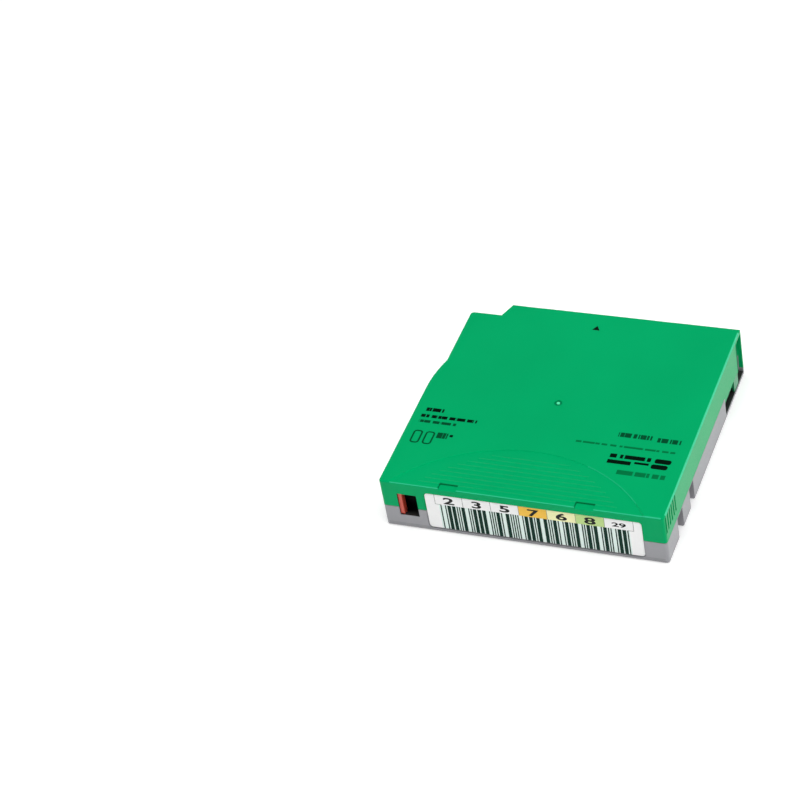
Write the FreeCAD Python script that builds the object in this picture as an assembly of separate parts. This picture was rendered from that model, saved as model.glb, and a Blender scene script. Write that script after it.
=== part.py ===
"""Data tape cartridge: a two-shell case round one reel of half-inch tape.

Frame: +X to the right seen from the label side, +Y the way the cartridge goes in,
+Z up. The origin is the centre of the case at its flat bottom. Sizes are millimetres.
"""
import FreeCAD, Part
import math
import os

Vector = FreeCAD.Vector
UP = Vector(0, 0, 1)

# ---------------------------------------------------------------- driving dimensions
WIDTH = 105.4
DEPTH = 102.0
HEIGHT = 21.5
WALL = 1.5
FLOOR_Z = 1.8
CEILING_Z = 19.8
SEAM_Z = 9.6

RIGHT_X = WIDTH / 2
LEFT_X = -WIDTH / 2
FRONT_Y = DEPTH / 2
LABEL_Y = -DEPTH / 2
REEL_X = -1.4
REEL_AXIS = (REEL_X, 0.0)

# How far a rib is sunk into the wall that carries it, and a cut runs past a face
SINK = 0.1
PAST = 1.0

# Case outline
CORNER_R = 1.2
LEFT_STEP_X = -50.1
LEFT_ARC_R = REEL_X - LEFT_X
NOTCH_Y = 44.5
NOTCH_X = (-38.0, -35.5)
NOTCH_CORNER_R = 1.5
TOP_EDGE_R = 0.6
BOTTOM_EDGE = 0.5
SEAM_GROOVE = 0.15
TONGUE = (0.8, 1.0)
TONGUE_GAP = 0.1

# Thumb grip on the top, and the small recesses at the case's edges
GRIP_ARC_R = 58.0
GRIP_ARC_X = -1.8
GRIP_ARC_Y = -26.3
GRIP_DEPTH = 0.25
GRIP_BANK = 0.25
RIDGE_FIRST_Y = -48.6
RIDGE_PITCH = 2.16
RIDGE_COUNT = 9
RIDGE_WIDTH = (1.3, 0.4)
RIDGE_HEIGHT = 0.1
RIDGE_SIDE_GAP = 9.0
EDGE_RECESS_X = ((-30.2, -23.4), (20.3, 27.3))
EDGE_RECESS = (2.9, 0.8)
FRONT_RECESS = (0.4, 12.0)
ARROW = (0.1, 41.6, 44.1, 1.5)
GATE_MARK_R = 1.5
GATE_NUB_R = 0.6
MARK_DEPTH = 0.3

# Grips at the sides
GROOVE_FIRST_Y = -38.2
GROOVE_PITCH = 2.26
GROOVE_COUNT = 6
GROOVE = (1.1, 0.5)
GROOVE_Z = (13.4, HEIGHT - TOP_EDGE_R)
PICK_NOTCHES_Y = ((-38.0, -31.8), (-22.8, -17.7))
PICK_NOTCH_DEPTH = 2.5
PICK_NOTCH_TOP = 9.2

# Volume label in its recess
LABEL_X = (-35.9, 44.1)
LABEL_Z = (1.8, 17.9)
LABEL_R = 1.2
LABEL_RECESS = 0.4
LABEL_MARGIN = 0.35
LABEL_THICKNESS = 0.15

# Write-protect window, its slider and the pocket behind them
WINDOW_X = (-46.6, -39.2)
WINDOW_Z = (5.9, 16.1)
SLIDER_WIDTH = 1.5
SLIDER_SET_BACK = 0.5
SLIDER_GAP = 0.1
SLIDER_RAIL = 0.7
PROTECT_POCKET = (-37.5, -43.6)
POCKET_WALL = 1.0
RAIL_REACH = 1.5
SLIDER_FOOT = (2.4, 1.2)

# Reel
FLANGE_R = 48.5
FLANGE_T = 1.2
HUB_R = 22.0
HUB_WALL = 1.8
REEL_Z = 2.9
TAPE_Z = (4.3, 16.95)
TAPE_R = 46.85
UPPER_FLANGE_Z = (17.15, 18.15)
COLLAR = (18.9, 1.5)
COLLAR_GAP = 0.05
WEB_Z = (3.4, 5.0)
WEB_HOLE_R = 3.0
GEAR_RECESS_R = 17.4
REEL_WALL_R = (49.4, 50.6)
REEL_WALL_GAP_DEG = (-25.0, 74.0)
DRIVE_OPENING_R = 18.0
REST_RING_R = (18.8, 20.5)

# Face teeth of the drive gear and of the brake
TEETH = 36
DRIVE_TOOTH_R = (13.6, 17.0)
DRIVE_TOOTH = (1.9, 0.9, 1.2)
BRAKE_TOOTH_R = (11.2, 14.2)
BRAKE_TOOTH = (1.3, 0.5, 1.1)
BRAKE_MESH_Z = (6.9, 8.1)
PEDESTAL_RIM = 0.2
LEG_MARGIN_DEG = 17.0
PLATE_R = (5.2, 12.6)
PLATE_Z = (2.4, 3.4)
PEG_R = 0.8
PEG_CIRCLE_R = 9.0

# Brake button, its spring and the three-legged release pad
BRAKE_R = 15.4
BRAKE_DISC_Z = (8.1, 9.6)
BRAKE_TUBE_R = (3.6, 5.8)
BRAKE_TUBE_TOP = 14.6
KEY = (1.4, 4.8)
KEY_GAP = 0.25
BOSS_R = 3.3
BOSS_Z = 11.8
SPRING_SEAT_R = (8.1, 9.0)
SPRING_SEAT_H = 1.0
BRAKE_SPRING = (7.1, 0.9, 3)
PAD_Z = (5.0, 6.2)
PAD_R = 6.5
PAD_ARM_WIDTH = 5.0
PAD_LEG_R = (14.4, 16.6)
PAD_LEG_Z = 2.3
PAD_GAP = 0.3
LEG_ANGLES = (90, 210, 330)
NUB_PROFILE = ((0.0, 6.25), (1.6, 6.45), (2.4, 8.1), (0.0, 8.1))

# Sliding door at the right front corner, with its spring
DOOR_X = (49.95, 51.1)
DOOR_Y = (24.0, 49.35)
DOOR_Z = (2.0, 19.6)
DOOR_TAB_X = 52.6
DOOR_TAB_Y = (38.2, 43.5)
DOOR_TAB_Z = (2.1, 7.1)
DOOR_SLOT_Y = (25.8, 43.6)
DOOR_SLOT_Z = (FLOOR_Z, 7.4)
DOOR_WINDOW_Y = (43.6, 50.3)
DOOR_WINDOW_Z = (FLOOR_Z, CEILING_Z)
CORNER_LEG_Z = 3.5
DOOR_GUIDE_X = (49.15, 49.85)
DOOR_GUIDE_Y = (12.0, 42.0)
DOOR_GUIDE_H = 1.6
SPRING_AXIS = (49.6, 5.7)
SPRING_Y = (-3.5, 22.4)
DOOR_SPRING = (1.05, 0.5, 8)
SPRING_POST = (0.6, 3.0)
SPRING_SEAT = (1.4, 1.5)

# Leader pin, the clip that holds the tape's end, and the pin's spring
PIN_AXIS = (46.5, 46.2)
PIN_DISC_R = 2.6
PIN_CORE_R = 1.5
PIN_DISCS_Z = ((1.8, 2.6), (3.6, 4.2), (17.05, 17.65), (18.65, 19.45))
CLIP_R = (1.6, 2.3)
CLIP_MOUTH = 0.3
PIN_POCKET_R = (2.75, 3.6)
PIN_POCKET_H = 1.6
LEAF_T = 0.25
LEAF_Y = 49.15
LEAF_WEB_X = (36.5, 40.5)
LEAF_BEND = ((47.4, 49.15), (49.1, 47.95), (49.55, 48.45))
LEAF_Z = ((2.0, 2.6), (18.65, 19.25))
LEAF_POST_X = (37.5, 39.5)
LEAF_POST_Y = 1.4
TAPE_RUN_T = 0.1
TAPE_RUN_Y = (47.05, 46.2)
TAPE_RUN_END_X = 45.0

# Memory tag, tilted 45 degrees in the corner behind the label wall
TAG_SIZE = (19.0, 10.4, 0.8)
TAG_X = 39.8
TAG_TILT = 45.0
TAG_RIB_X = (32.5, 46.0)
TAG_RIB_T = 1.2
TAG_GAP = 0.2
TAG_STOP = (0.8, 3.2)
CHIP_SIZE = (4.0, 4.0, 0.9)

# Screws, and the holes that locate the cartridge in a drive
SCREWS = ((-43.5, 39.6), (38.5, 41.3), (-46.0, -40.0), (46.4, -35.6))
SCREW_BOSS_R = 2.8
SCREW_HEAD_R = 2.0
SCREW_RECESS_R = 2.2
SCREW_HEAD_Z = (0.5, 2.1)
SCREW_SHANK_R = 0.9
SCREW_HOLE_R = 1.1
SCREW_TOP_Z = 15.0
SCREW_TIP_GAP = 0.5
LOCATOR_R = 1.75
LOCATOR_DEPTH = 3.2
LOCATOR_WALL = 1.2
ROUND_LOCATOR = (-45.7, 31.8)
SLOT_LOCATOR = (44.4, 34.8)
SLOT_LENGTH = 5.0


# ---------------------------------------------------------------- simple shapes
def box(x, y, z):
    """Block between the low and high value of each axis."""
    size = (x[1] - x[0], y[1] - y[0], z[1] - z[0])
    return Part.makeBox(*size, Vector(x[0], y[0], z[0]))


def cylinder(centre, radius, z):
    """Upright cylinder about a point of the plan."""
    return Part.makeCylinder(radius, z[1] - z[0], Vector(centre[0], centre[1], z[0]))


def ring(centre, radii, z):
    """Upright tube between two radii."""
    return cylinder(centre, radii[1], z).cut(cylinder(centre, radii[0], z))


def prism(points, z):
    """Upright prism on a closed outline of plan points."""
    corners = [Vector(x, y, z[0]) for x, y in points]
    face = Part.Face(Part.makePolygon(corners + corners[:1]))
    return face.extrude(Vector(0, 0, z[1] - z[0]))


def bar_along_x(section, x):
    """Prism along X on a closed outline of (y, z) points."""
    corners = [Vector(x[0], y, z) for y, z in section]
    face = Part.Face(Part.makePolygon(corners + corners[:1]))
    return face.extrude(Vector(x[1] - x[0], 0, 0))


def turned(profile, centre):
    """Solid of revolution of a closed (radius, z) outline about an upright axis."""
    points = [Vector(centre[0] + radius, centre[1], z) for radius, z in profile]
    face = Part.Face(Part.makePolygon(points + points[:1]))
    return face.revolve(Vector(centre[0], centre[1], 0), UP, 360)


def fused(first, others):
    """One solid of a shape and its additions, with split faces joined again."""
    return first.multiFuse(list(others)).removeSplitter()


def around(shape, centre, angle):
    """Copy of a shape, turned in plan."""
    copy = shape.copy()
    copy.rotate(Vector(centre[0], centre[1], 0), UP, angle)
    return copy


def mirrored_in_x(low_high):
    """The same stretch on the other side of the case."""
    return (-low_high[1], -low_high[0])


def coil(radius, wire, turns, length):
    """Helical wire spring on +Z from z = 0, with a four-sided wire."""
    path = Part.makeHelix((length - wire) / turns, length - wire, radius)
    half = wire / 2
    corners = [Vector(radius + x, 0, z) for x, z in ((half, 0), (0, half), (-half, 0), (0, -half))]
    profile = Part.makePolygon(corners + corners[:1])
    spring = Part.Wire(path).makePipeShell([profile], True, True)
    spring.translate(Vector(0, 0, half))
    return spring


# ---------------------------------------------------------------- case outline
def line(start, end):
    """Straight edge in plan."""
    return Part.makeLine(Vector(*start, 0), Vector(*end, 0))


def arc(start, middle, end):
    """Circular edge in plan through three points."""
    points = [Vector(*point, 0) for point in (start, middle, end)]
    return Part.Arc(*points).toShape()


def corner_arc(centre, radius, start_deg):
    """Quarter round, drawn counter-clockwise from its start angle."""
    points = []
    for angle in (start_deg, start_deg + 45, start_deg + 90):
        turn = math.radians(angle)
        points.append((centre[0] + radius * math.cos(turn), centre[1] + radius * math.sin(turn)))
    return points


def case_outline():
    """Closed outline of the case seen from above, counter-clockwise."""
    rear_right = corner_arc((RIGHT_X - CORNER_R, LABEL_Y + CORNER_R), CORNER_R, 270)
    rear_left = corner_arc((LEFT_X + CORNER_R, LABEL_Y + CORNER_R), CORNER_R, 180)
    radius = NOTCH_CORNER_R
    front_left = corner_arc((LEFT_STEP_X + radius, NOTCH_Y - radius), radius, 90)
    step_y = math.sqrt(LEFT_ARC_R ** 2 - (LEFT_STEP_X - REEL_X) ** 2)
    half_turn = math.atan2(step_y, REEL_X - LEFT_STEP_X) / 2
    bulge = (REEL_X - LEFT_ARC_R * math.cos(half_turn), LEFT_ARC_R * math.sin(half_turn))
    edges = [
        line(rear_left[2], rear_right[0]),
        arc(*rear_right),
        line(rear_right[2], (RIGHT_X, FRONT_Y)),
        line((RIGHT_X, FRONT_Y), (NOTCH_X[1], FRONT_Y)),
        line((NOTCH_X[1], FRONT_Y), (NOTCH_X[0], NOTCH_Y)),
        line((NOTCH_X[0], NOTCH_Y), front_left[0]),
        arc(*front_left),
        line(front_left[2], (LEFT_STEP_X, step_y)),
        arc((LEFT_STEP_X, step_y), bulge, (LEFT_X, 0)),
        line((LEFT_X, 0), rear_left[0]),
        arc(*rear_left),
    ]
    return Part.Wire(edges)


def case_block(z, inset=0.0):
    """Solid block of the case's outline, moved inwards by an inset."""
    face = Part.Face(case_outline())
    if inset:
        face = face.makeOffset2D(-inset, 2)
    face.translate(Vector(0, 0, z[0]))
    return face.extrude(Vector(0, 0, z[1] - z[0]))


def edges_at(shape, z):
    """Edges of a shape that lie all at one height."""
    return [e for e in shape.Edges if all(abs(v.Z - z) < 1e-6 for v in e.Vertexes)]


def tongue_band(outer, inner, z):
    """Strip of the walls' inner half, left out at the window, the slot and the door."""
    band = case_block(z, outer).cut(case_block(z, inner))
    door_zone = box((DOOR_X[0], RIGHT_X), (DOOR_SLOT_Y[0] - WALL, FRONT_Y), z)
    window_zone = box((WINDOW_X[0] - WALL, WINDOW_X[1] + WALL), (LABEL_Y, LABEL_Y + 2 * WALL), z)
    return band.cut(door_zone.fuse(window_zone))


# ---------------------------------------------------------------- shared case features
def reel_wall(z):
    """Round wall beside the reel, open where the tape leaves and where the door slides."""
    far = 2 * WIDTH
    start, end = [math.radians(angle) for angle in REEL_WALL_GAP_DEG]
    gap = [
        REEL_AXIS,
        (REEL_X + far * math.cos(start), far * math.sin(start)),
        (REEL_X + far, far),
        (REEL_X + far * math.cos(end), far * math.sin(end)),
    ]
    return ring(REEL_AXIS, REEL_WALL_R, z).cut(prism(gap, z))


def widened(low_high, margin):
    """A stretch made longer by a margin at both ends."""
    return (low_high[0] - margin, low_high[1] + margin)


def label_recess():
    """Shallow rounded pocket in the label face, across both shells."""
    x, z = widened(LABEL_X, LABEL_MARGIN), widened(LABEL_Z, LABEL_MARGIN)
    block = box(x, (LABEL_Y - PAST, LABEL_Y + LABEL_RECESS), z)
    return rounded_along_y(block, LABEL_R + LABEL_MARGIN)


def rounded_along_y(block, radius):
    """Block with the four edges along Y rounded."""
    edges = []
    for edge in block.Edges:
        direction = edge.Vertexes[1].Point - edge.Vertexes[0].Point
        if abs(direction.x) + abs(direction.z) < 1e-6:
            edges.append(edge)
    return block.makeFillet(radius, edges)


def protect_window():
    """Opening in the label wall that shows the write-protect slider."""
    return box(WINDOW_X, (LABEL_Y - PAST, LABEL_Y + WALL + SINK), WINDOW_Z)


def door_window():
    """Opening in the right wall, through which the leader pin leaves."""
    return box((RIGHT_X - WALL, RIGHT_X + PAST), DOOR_WINDOW_Y, DOOR_WINDOW_Z)


def corner_leg(past=0.0):
    """Foot of the top shell at the front corner, beside the door's opening."""
    x = (RIGHT_X - WALL, RIGHT_X + past)
    return box(x, (DOOR_WINDOW_Y[1], FRONT_Y + past), (CORNER_LEG_Z, SEAM_Z + SEAM_GROOVE))


def pin_pocket(z):
    """Half-round wall that one end of the leader pin stands against."""
    wall = ring(PIN_AXIS, PIN_POCKET_R, z)
    reach = PIN_POCKET_R[1] + PAST
    open_side = box((PIN_AXIS[0], RIGHT_X), (PIN_AXIS[1] - reach, FRONT_Y), z)
    leaf_side = box((PIN_AXIS[0] - reach, RIGHT_X), (LEAF_Y - LEAF_T, FRONT_Y), z)
    return wall.cut(open_side.fuse(leaf_side))


def leaf_post(z):
    """Block that keeps the pin's spring against the front wall."""
    return box(LEAF_POST_X, (LEAF_Y - LEAF_POST_Y, LEAF_Y - LEAF_T / 2), z)


def slider_rail(z):
    """Shelf that the write-protect slider runs along."""
    x = (LEFT_X + WALL - SINK, PROTECT_POCKET[0] + SINK)
    inside_y = LABEL_Y + WALL
    return box(x, (inside_y - SINK, inside_y + RAIL_REACH), z)


def protect_pocket(z):
    """Back wall and side wall of the pocket behind the write-protect window."""
    side_x, back_y = PROTECT_POCKET
    back = box((LEFT_X + WALL - SINK, side_x + POCKET_WALL), (back_y, back_y + POCKET_WALL), z)
    side_y = (LABEL_Y + WALL - SINK, back_y + POCKET_WALL)
    side = box((side_x, side_x + POCKET_WALL), side_y, z)
    return [back, side]


# ---------------------------------------------------------------- top shell
def thumb_grip():
    """Tool for the sunk arch with its sloping bank and its ridges."""
    height = GRIP_DEPTH + PAST
    floor_r = GRIP_ARC_R - GRIP_BANK
    centre = Vector(GRIP_ARC_X, GRIP_ARC_Y - GRIP_ARC_R, HEIGHT - GRIP_DEPTH)
    sunk = Part.makeCone(floor_r, floor_r + GRIP_BANK * height / GRIP_DEPTH, height, centre)
    return sunk.cut(Part.makeCompound(grip_ridges()))


def grip_ridges():
    """Low straight ridges that stand on the floor of the thumb grip."""
    ridges = []
    base = HEIGHT - GRIP_DEPTH
    centre_y = GRIP_ARC_Y - GRIP_ARC_R
    for index in range(RIDGE_COUNT):
        y = RIDGE_FIRST_Y + index * RIDGE_PITCH
        half = math.sqrt(GRIP_ARC_R ** 2 - (y - centre_y) ** 2) - RIDGE_SIDE_GAP
        low, high = RIDGE_WIDTH[0] / 2, RIDGE_WIDTH[1] / 2
        crest = base + RIDGE_HEIGHT
        section = [(y - low, base), (y + low, base), (y + high, crest), (y - high, crest)]
        ridges.append(bar_along_x(section, (GRIP_ARC_X - half, GRIP_ARC_X + half)))
    return ridges


def edge_recesses():
    """Shallow recesses at the label edge of the top and in the front wall."""
    cuts = []
    for x in EDGE_RECESS_X:
        rear = (LABEL_Y - PAST, LABEL_Y + EDGE_RECESS[0])
        cuts.append(box(x, rear, (HEIGHT - EDGE_RECESS[1], HEIGHT + PAST)))
        front = (FRONT_Y - FRONT_RECESS[0], FRONT_Y + PAST)
        cuts.append(box(x, front, (FRONT_RECESS[1], HEIGHT + PAST)))
    return cuts


def top_marks():
    """Sunk arrow and sunk moulding mark of the top."""
    x, base_y, tip_y, half = ARROW
    depth = (HEIGHT - MARK_DEPTH, HEIGHT + PAST)
    arrow = prism([(x - half, base_y), (x + half, base_y), (x, tip_y)], depth)
    return [arrow, ring(REEL_AXIS, (GATE_NUB_R, GATE_MARK_R), depth)]


def side_grooves():
    """Upright finger grooves at the label end of both sides."""
    cuts = []
    for index in range(GROOVE_COUNT):
        y = GROOVE_FIRST_Y - index * GROOVE_PITCH
        span = (y - GROOVE[0] / 2, y + GROOVE[0] / 2)
        right = (RIGHT_X - GROOVE[1], RIGHT_X + PAST)
        for x in (right, mirrored_in_x(right)):
            cuts.append(box(x, span, GROOVE_Z))
    return cuts


def brake_guide():
    """Keyed boss under the ceiling that keeps the brake button from turning."""
    z = (BOSS_Z, CEILING_Z)
    half = KEY[0] / 2
    reach = KEY[1]
    along = box((REEL_X - reach, REEL_X + reach), (-half, half), z)
    across = box((REEL_X - half, REEL_X + half), (-reach, reach), z)
    seat = ring(REEL_AXIS, SPRING_SEAT_R, (CEILING_Z - SPRING_SEAT_H, CEILING_Z))
    return [cylinder(REEL_AXIS, BOSS_R, z), along, across, seat]


def top_ribs():
    """Walls, bosses and guides that hang from the ceiling."""
    low_z = (CEILING_Z - PIN_POCKET_H, CEILING_Z)
    parts = [reel_wall((SEAM_Z, CEILING_Z))]
    parts += brake_guide() + protect_pocket((SEAM_Z, CEILING_Z))
    for centre in SCREWS:
        parts.append(cylinder(centre, SCREW_BOSS_R, (SEAM_Z, CEILING_Z)))
    parts.append(pin_pocket(low_z))
    parts.append(leaf_post(low_z))
    parts.append(box(DOOR_GUIDE_X, DOOR_GUIDE_Y, (CEILING_Z - DOOR_GUIDE_H, CEILING_Z)))
    rail_low = WINDOW_Z[1] + SLIDER_RAIL + SLIDER_GAP
    parts.append(slider_rail((rail_low, CEILING_Z)))
    skirt = (DOOR_SLOT_Z[1], SEAM_Z + SEAM_GROOVE)
    parts.append(box((RIGHT_X - WALL, RIGHT_X), DOOR_SLOT_Y, skirt))
    parts.append(corner_leg())
    return parts


def top_shell():
    """Upper half of the case, with the plate that carries grip, arrow and recesses."""
    block = case_block((SEAM_Z, HEIGHT))
    block = block.makeFillet(TOP_EDGE_R, edges_at(block, HEIGHT))
    block = block.makeChamfer(SEAM_GROOVE, edges_at(block, SEAM_Z))
    shell = block.cut(case_block((SEAM_Z, CEILING_Z), WALL))
    shell = fused(shell, top_ribs())
    cuts = [label_recess(), protect_window(), door_window(), thumb_grip()]
    cuts += edge_recesses() + top_marks() + side_grooves()
    for centre in SCREWS:
        cuts.append(cylinder(centre, SCREW_SHANK_R, (SEAM_Z, SCREW_TOP_Z + SCREW_TIP_GAP)))
    groove_z = (SEAM_Z, SEAM_Z + TONGUE[1] + TONGUE_GAP)
    cuts.append(tongue_band(TONGUE[0] - TONGUE_GAP, WALL + TONGUE_GAP, groove_z))
    return shell.cut(cuts)


# ---------------------------------------------------------------- bottom shell
def pick_notch_walls():
    """Inner walls of the notches that a library's picker grips."""
    walls = []
    for low, high in PICK_NOTCHES_Y:
        right = (RIGHT_X - PICK_NOTCH_DEPTH - WALL, RIGHT_X - WALL / 2)
        for x in (right, mirrored_in_x(right)):
            walls.append(box(x, (low - WALL, high + WALL), (FLOOR_Z, SEAM_Z)))
    return walls


def pick_notches():
    """The notches themselves, open at the side and at the bottom."""
    cuts = []
    for span in PICK_NOTCHES_Y:
        right = (RIGHT_X - PICK_NOTCH_DEPTH, RIGHT_X + PAST)
        for x in (right, mirrored_in_x(right)):
            cuts.append(box(x, span, (-PAST, PICK_NOTCH_TOP)))
    return cuts


def locator_slot(radius, z):
    """Upright slot with round ends about the slotted locating hole."""
    x, y = SLOT_LOCATOR
    half = SLOT_LENGTH / 2 - LOCATOR_R
    ends = [cylinder((x - half, y), radius, z), cylinder((x + half, y), radius, z)]
    return fused(box((x - half, x + half), (y - radius, y + radius), z), ends)


def tag_foot_y():
    """Where the memory tag's underside meets the floor."""
    return LABEL_Y + WALL + (TAG_SIZE[1] + TAG_GAP) * math.cos(math.radians(TAG_TILT))


def tag_ribs():
    """Two wedges that carry the tilted memory tag, and the stop at its foot."""
    foot_y = tag_foot_y()
    height = foot_y - (LABEL_Y + WALL)
    section = [
        (LABEL_Y + WALL - SINK, FLOOR_Z - SINK),
        (foot_y + SINK, FLOOR_Z - SINK),
        (LABEL_Y + WALL - SINK, FLOOR_Z + height + SINK),
    ]
    ribs = [bar_along_x(section, (x, x + TAG_RIB_T)) for x in TAG_RIB_X]
    stop_y = foot_y + TAG_SIZE[2]
    stop_x = (TAG_RIB_X[0], TAG_RIB_X[1] + TAG_RIB_T)
    stop = box(stop_x, (stop_y, stop_y + TAG_STOP[0]), (FLOOR_Z - SINK, TAG_STOP[1]))
    return ribs + [stop]


def bottom_ribs():
    """Walls, bosses and guides that stand on the floor."""
    low_z = (FLOOR_Z, FLOOR_Z + PIN_POCKET_H)
    parts = [reel_wall((FLOOR_Z, SEAM_Z)), ring(REEL_AXIS, REST_RING_R, (FLOOR_Z, REEL_Z))]
    for centre in SCREWS:
        parts.append(cylinder(centre, SCREW_BOSS_R, (FLOOR_Z, SEAM_Z)))
    parts += pick_notch_walls() + tag_ribs() + protect_pocket((FLOOR_Z, SEAM_Z))
    parts.append(pin_pocket(low_z))
    parts.append(leaf_post(low_z))
    parts.append(box(DOOR_GUIDE_X, DOOR_GUIDE_Y, (FLOOR_Z, FLOOR_Z + DOOR_GUIDE_H)))
    parts.append(slider_rail((FLOOR_Z, WINDOW_Z[0] - SLIDER_RAIL - SLIDER_GAP)))
    anchor_y = (SPRING_Y[0] - WALL, SPRING_Y[0])
    anchor_x = (SPRING_AXIS[0] - SPRING_SEAT[0], RIGHT_X - WALL)
    parts.append(box(anchor_x, anchor_y, (FLOOR_Z, SPRING_AXIS[1] + SPRING_SEAT[1])))
    locator_z = (FLOOR_Z, LOCATOR_DEPTH + LOCATOR_WALL)
    parts.append(cylinder(ROUND_LOCATOR, LOCATOR_R + LOCATOR_WALL, locator_z))
    parts.append(locator_slot(LOCATOR_R + LOCATOR_WALL, locator_z))
    return parts


def bottom_cuts():
    """Openings of the floor: drive opening, screw holes and locating holes."""
    cuts = [cylinder(REEL_AXIS, DRIVE_OPENING_R, (-PAST, REEL_Z + PAST))]
    for centre in SCREWS:
        cuts.append(cylinder(centre, SCREW_RECESS_R, (-PAST, SCREW_HEAD_Z[1])))
        cuts.append(cylinder(centre, SCREW_HOLE_R, (0, SEAM_Z)))
    cuts.append(cylinder(ROUND_LOCATOR, LOCATOR_R, (-PAST, LOCATOR_DEPTH)))
    cuts.append(locator_slot(LOCATOR_R, (-PAST, LOCATOR_DEPTH)))
    return cuts


def bottom_shell():
    """Lower half of the case, with the drive opening in its floor."""
    block = case_block((0, SEAM_Z))
    sides = [e for e in edges_at(block, 0) if abs(e.CenterOfMass.x) > RIGHT_X - 0.01]
    block = block.makeChamfer(BOTTOM_EDGE, sides)
    block = block.makeChamfer(SEAM_GROOVE, edges_at(block, SEAM_Z))
    shell = block.cut(case_block((FLOOR_Z, SEAM_Z), WALL))
    shell = fused(shell, bottom_ribs())
    tongue_z = (SEAM_Z - WALL, SEAM_Z + TONGUE[1])
    shell = fused(shell, [tongue_band(TONGUE[0], WALL, tongue_z)])
    slot = box((RIGHT_X - WALL, RIGHT_X + PAST), DOOR_SLOT_Y, (DOOR_SLOT_Z[0], SEAM_Z))
    cuts = [label_recess(), protect_window(), door_window(), slot, corner_leg(PAST)]
    return shell.cut(cuts + pick_notches() + bottom_cuts())


# ---------------------------------------------------------------- reel
def face_tooth(radii, tooth, root_z, direction):
    """One radial tooth on +X that stands up or hangs down from its root height."""
    root, tip, height = tooth
    tip_z = root_z + direction * height
    buried = root_z - direction * SINK
    section = [
        (-root / 2, buried),
        (root / 2, buried),
        (root / 2, root_z),
        (tip / 2, tip_z),
        (-tip / 2, tip_z),
        (-root / 2, root_z),
    ]
    tooth_bar = bar_along_x(section, radii)
    tooth_bar.translate(Vector(REEL_X, 0, 0))
    return tooth_bar


def tooth_ring(tooth_bar, angles):
    """Copies of a tooth at a list of angles about the reel's axis."""
    return [around(tooth_bar, REEL_AXIS, angle) for angle in angles]


def away_from_legs(angle):
    """Whether a tooth at this angle clears all three legs of the release pad."""
    turns = [abs((angle - leg + 180) % 360 - 180) for leg in LEG_ANGLES]
    return min(turns) > LEG_MARGIN_DEG


def radial_block(radii, width, z, angle):
    """Block along a radius of the reel, of even width."""
    half = width / 2
    block = box((REEL_X + radii[0], REEL_X + radii[1]), (-half, half), z)
    return around(block, REEL_AXIS, angle)


def reel_hub():
    """Hub with the lower flange, the drive gear below and the brake teeth inside."""
    inner = HUB_R - HUB_WALL
    profile = [
        (WEB_HOLE_R, WEB_Z[0]),
        (GEAR_RECESS_R, WEB_Z[0]),
        (GEAR_RECESS_R, REEL_Z),
        (FLANGE_R, REEL_Z),
        (FLANGE_R, REEL_Z + FLANGE_T),
        (HUB_R, REEL_Z + FLANGE_T),
        (HUB_R, UPPER_FLANGE_Z[0]),
        (inner, UPPER_FLANGE_Z[0]),
        (inner, WEB_Z[1]),
        (WEB_HOLE_R, WEB_Z[1]),
    ]
    pedestal_r = (BRAKE_TOOTH_R[0] - PEDESTAL_RIM, BRAKE_TOOTH_R[1] + PEDESTAL_RIM)
    pedestal = ring(REEL_AXIS, pedestal_r, (WEB_Z[1] - SINK, BRAKE_MESH_Z[0]))
    for angle in LEG_ANGLES:
        gap_z = (WEB_Z[1], BRAKE_MESH_Z[1])
        gap = radial_block((0, HUB_R), PAD_ARM_WIDTH + 2 * PAD_GAP, gap_z, angle)
        pedestal = pedestal.cut(gap)
    step = 360 / TEETH
    angles = [index * step for index in range(TEETH)]
    brake_tooth = face_tooth(BRAKE_TOOTH_R, BRAKE_TOOTH, BRAKE_MESH_Z[0], 1)
    drive_tooth = face_tooth(DRIVE_TOOTH_R, DRIVE_TOOTH, WEB_Z[0], -1)
    parts = [pedestal]
    angles = [angle for angle in angles if away_from_legs(angle)]
    parts += tooth_ring(brake_tooth, angles) + tooth_ring(drive_tooth, angles)
    for angle in LEG_ANGLES:
        peg = cylinder((REEL_X + PEG_CIRCLE_R, 0), PEG_R, (PLATE_Z[0], WEB_Z[0] + SINK))
        parts.append(around(peg, REEL_AXIS, angle + 60))
    slot_r = (PAD_LEG_R[0] - PAD_GAP, PAD_LEG_R[1] + PAD_GAP)
    slots = []
    for angle in LEG_ANGLES:
        slots.append(radial_block(slot_r, PAD_ARM_WIDTH + 2 * PAD_GAP, (0, PAD_Z[0]), angle))
    return fused(turned(profile, REEL_AXIS), parts).cut(slots)


def upper_flange():
    """Upper flange with the collar that centres it in the hub."""
    inner = HUB_R - HUB_WALL - COLLAR_GAP
    profile = [
        (COLLAR[0], UPPER_FLANGE_Z[0] - COLLAR[1]),
        (inner, UPPER_FLANGE_Z[0] - COLLAR[1]),
        (inner, UPPER_FLANGE_Z[0]),
        (FLANGE_R, UPPER_FLANGE_Z[0]),
        (FLANGE_R, UPPER_FLANGE_Z[1]),
        (COLLAR[0], UPPER_FLANGE_Z[1]),
    ]
    return turned(profile, REEL_AXIS)


def reel_plate():
    """Steel ring on the hub's underside that a drive's magnet holds."""
    plate = ring(REEL_AXIS, PLATE_R, PLATE_Z)
    for angle in LEG_ANGLES:
        hole = cylinder((REEL_X + PEG_CIRCLE_R, 0), PEG_R, PLATE_Z)
        plate = plate.cut(around(hole, REEL_AXIS, angle + 60))
    return plate


def tape_pack():
    """All turns of the wound tape as one ring."""
    return ring(REEL_AXIS, (HUB_R, TAPE_R), TAPE_Z)


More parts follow.
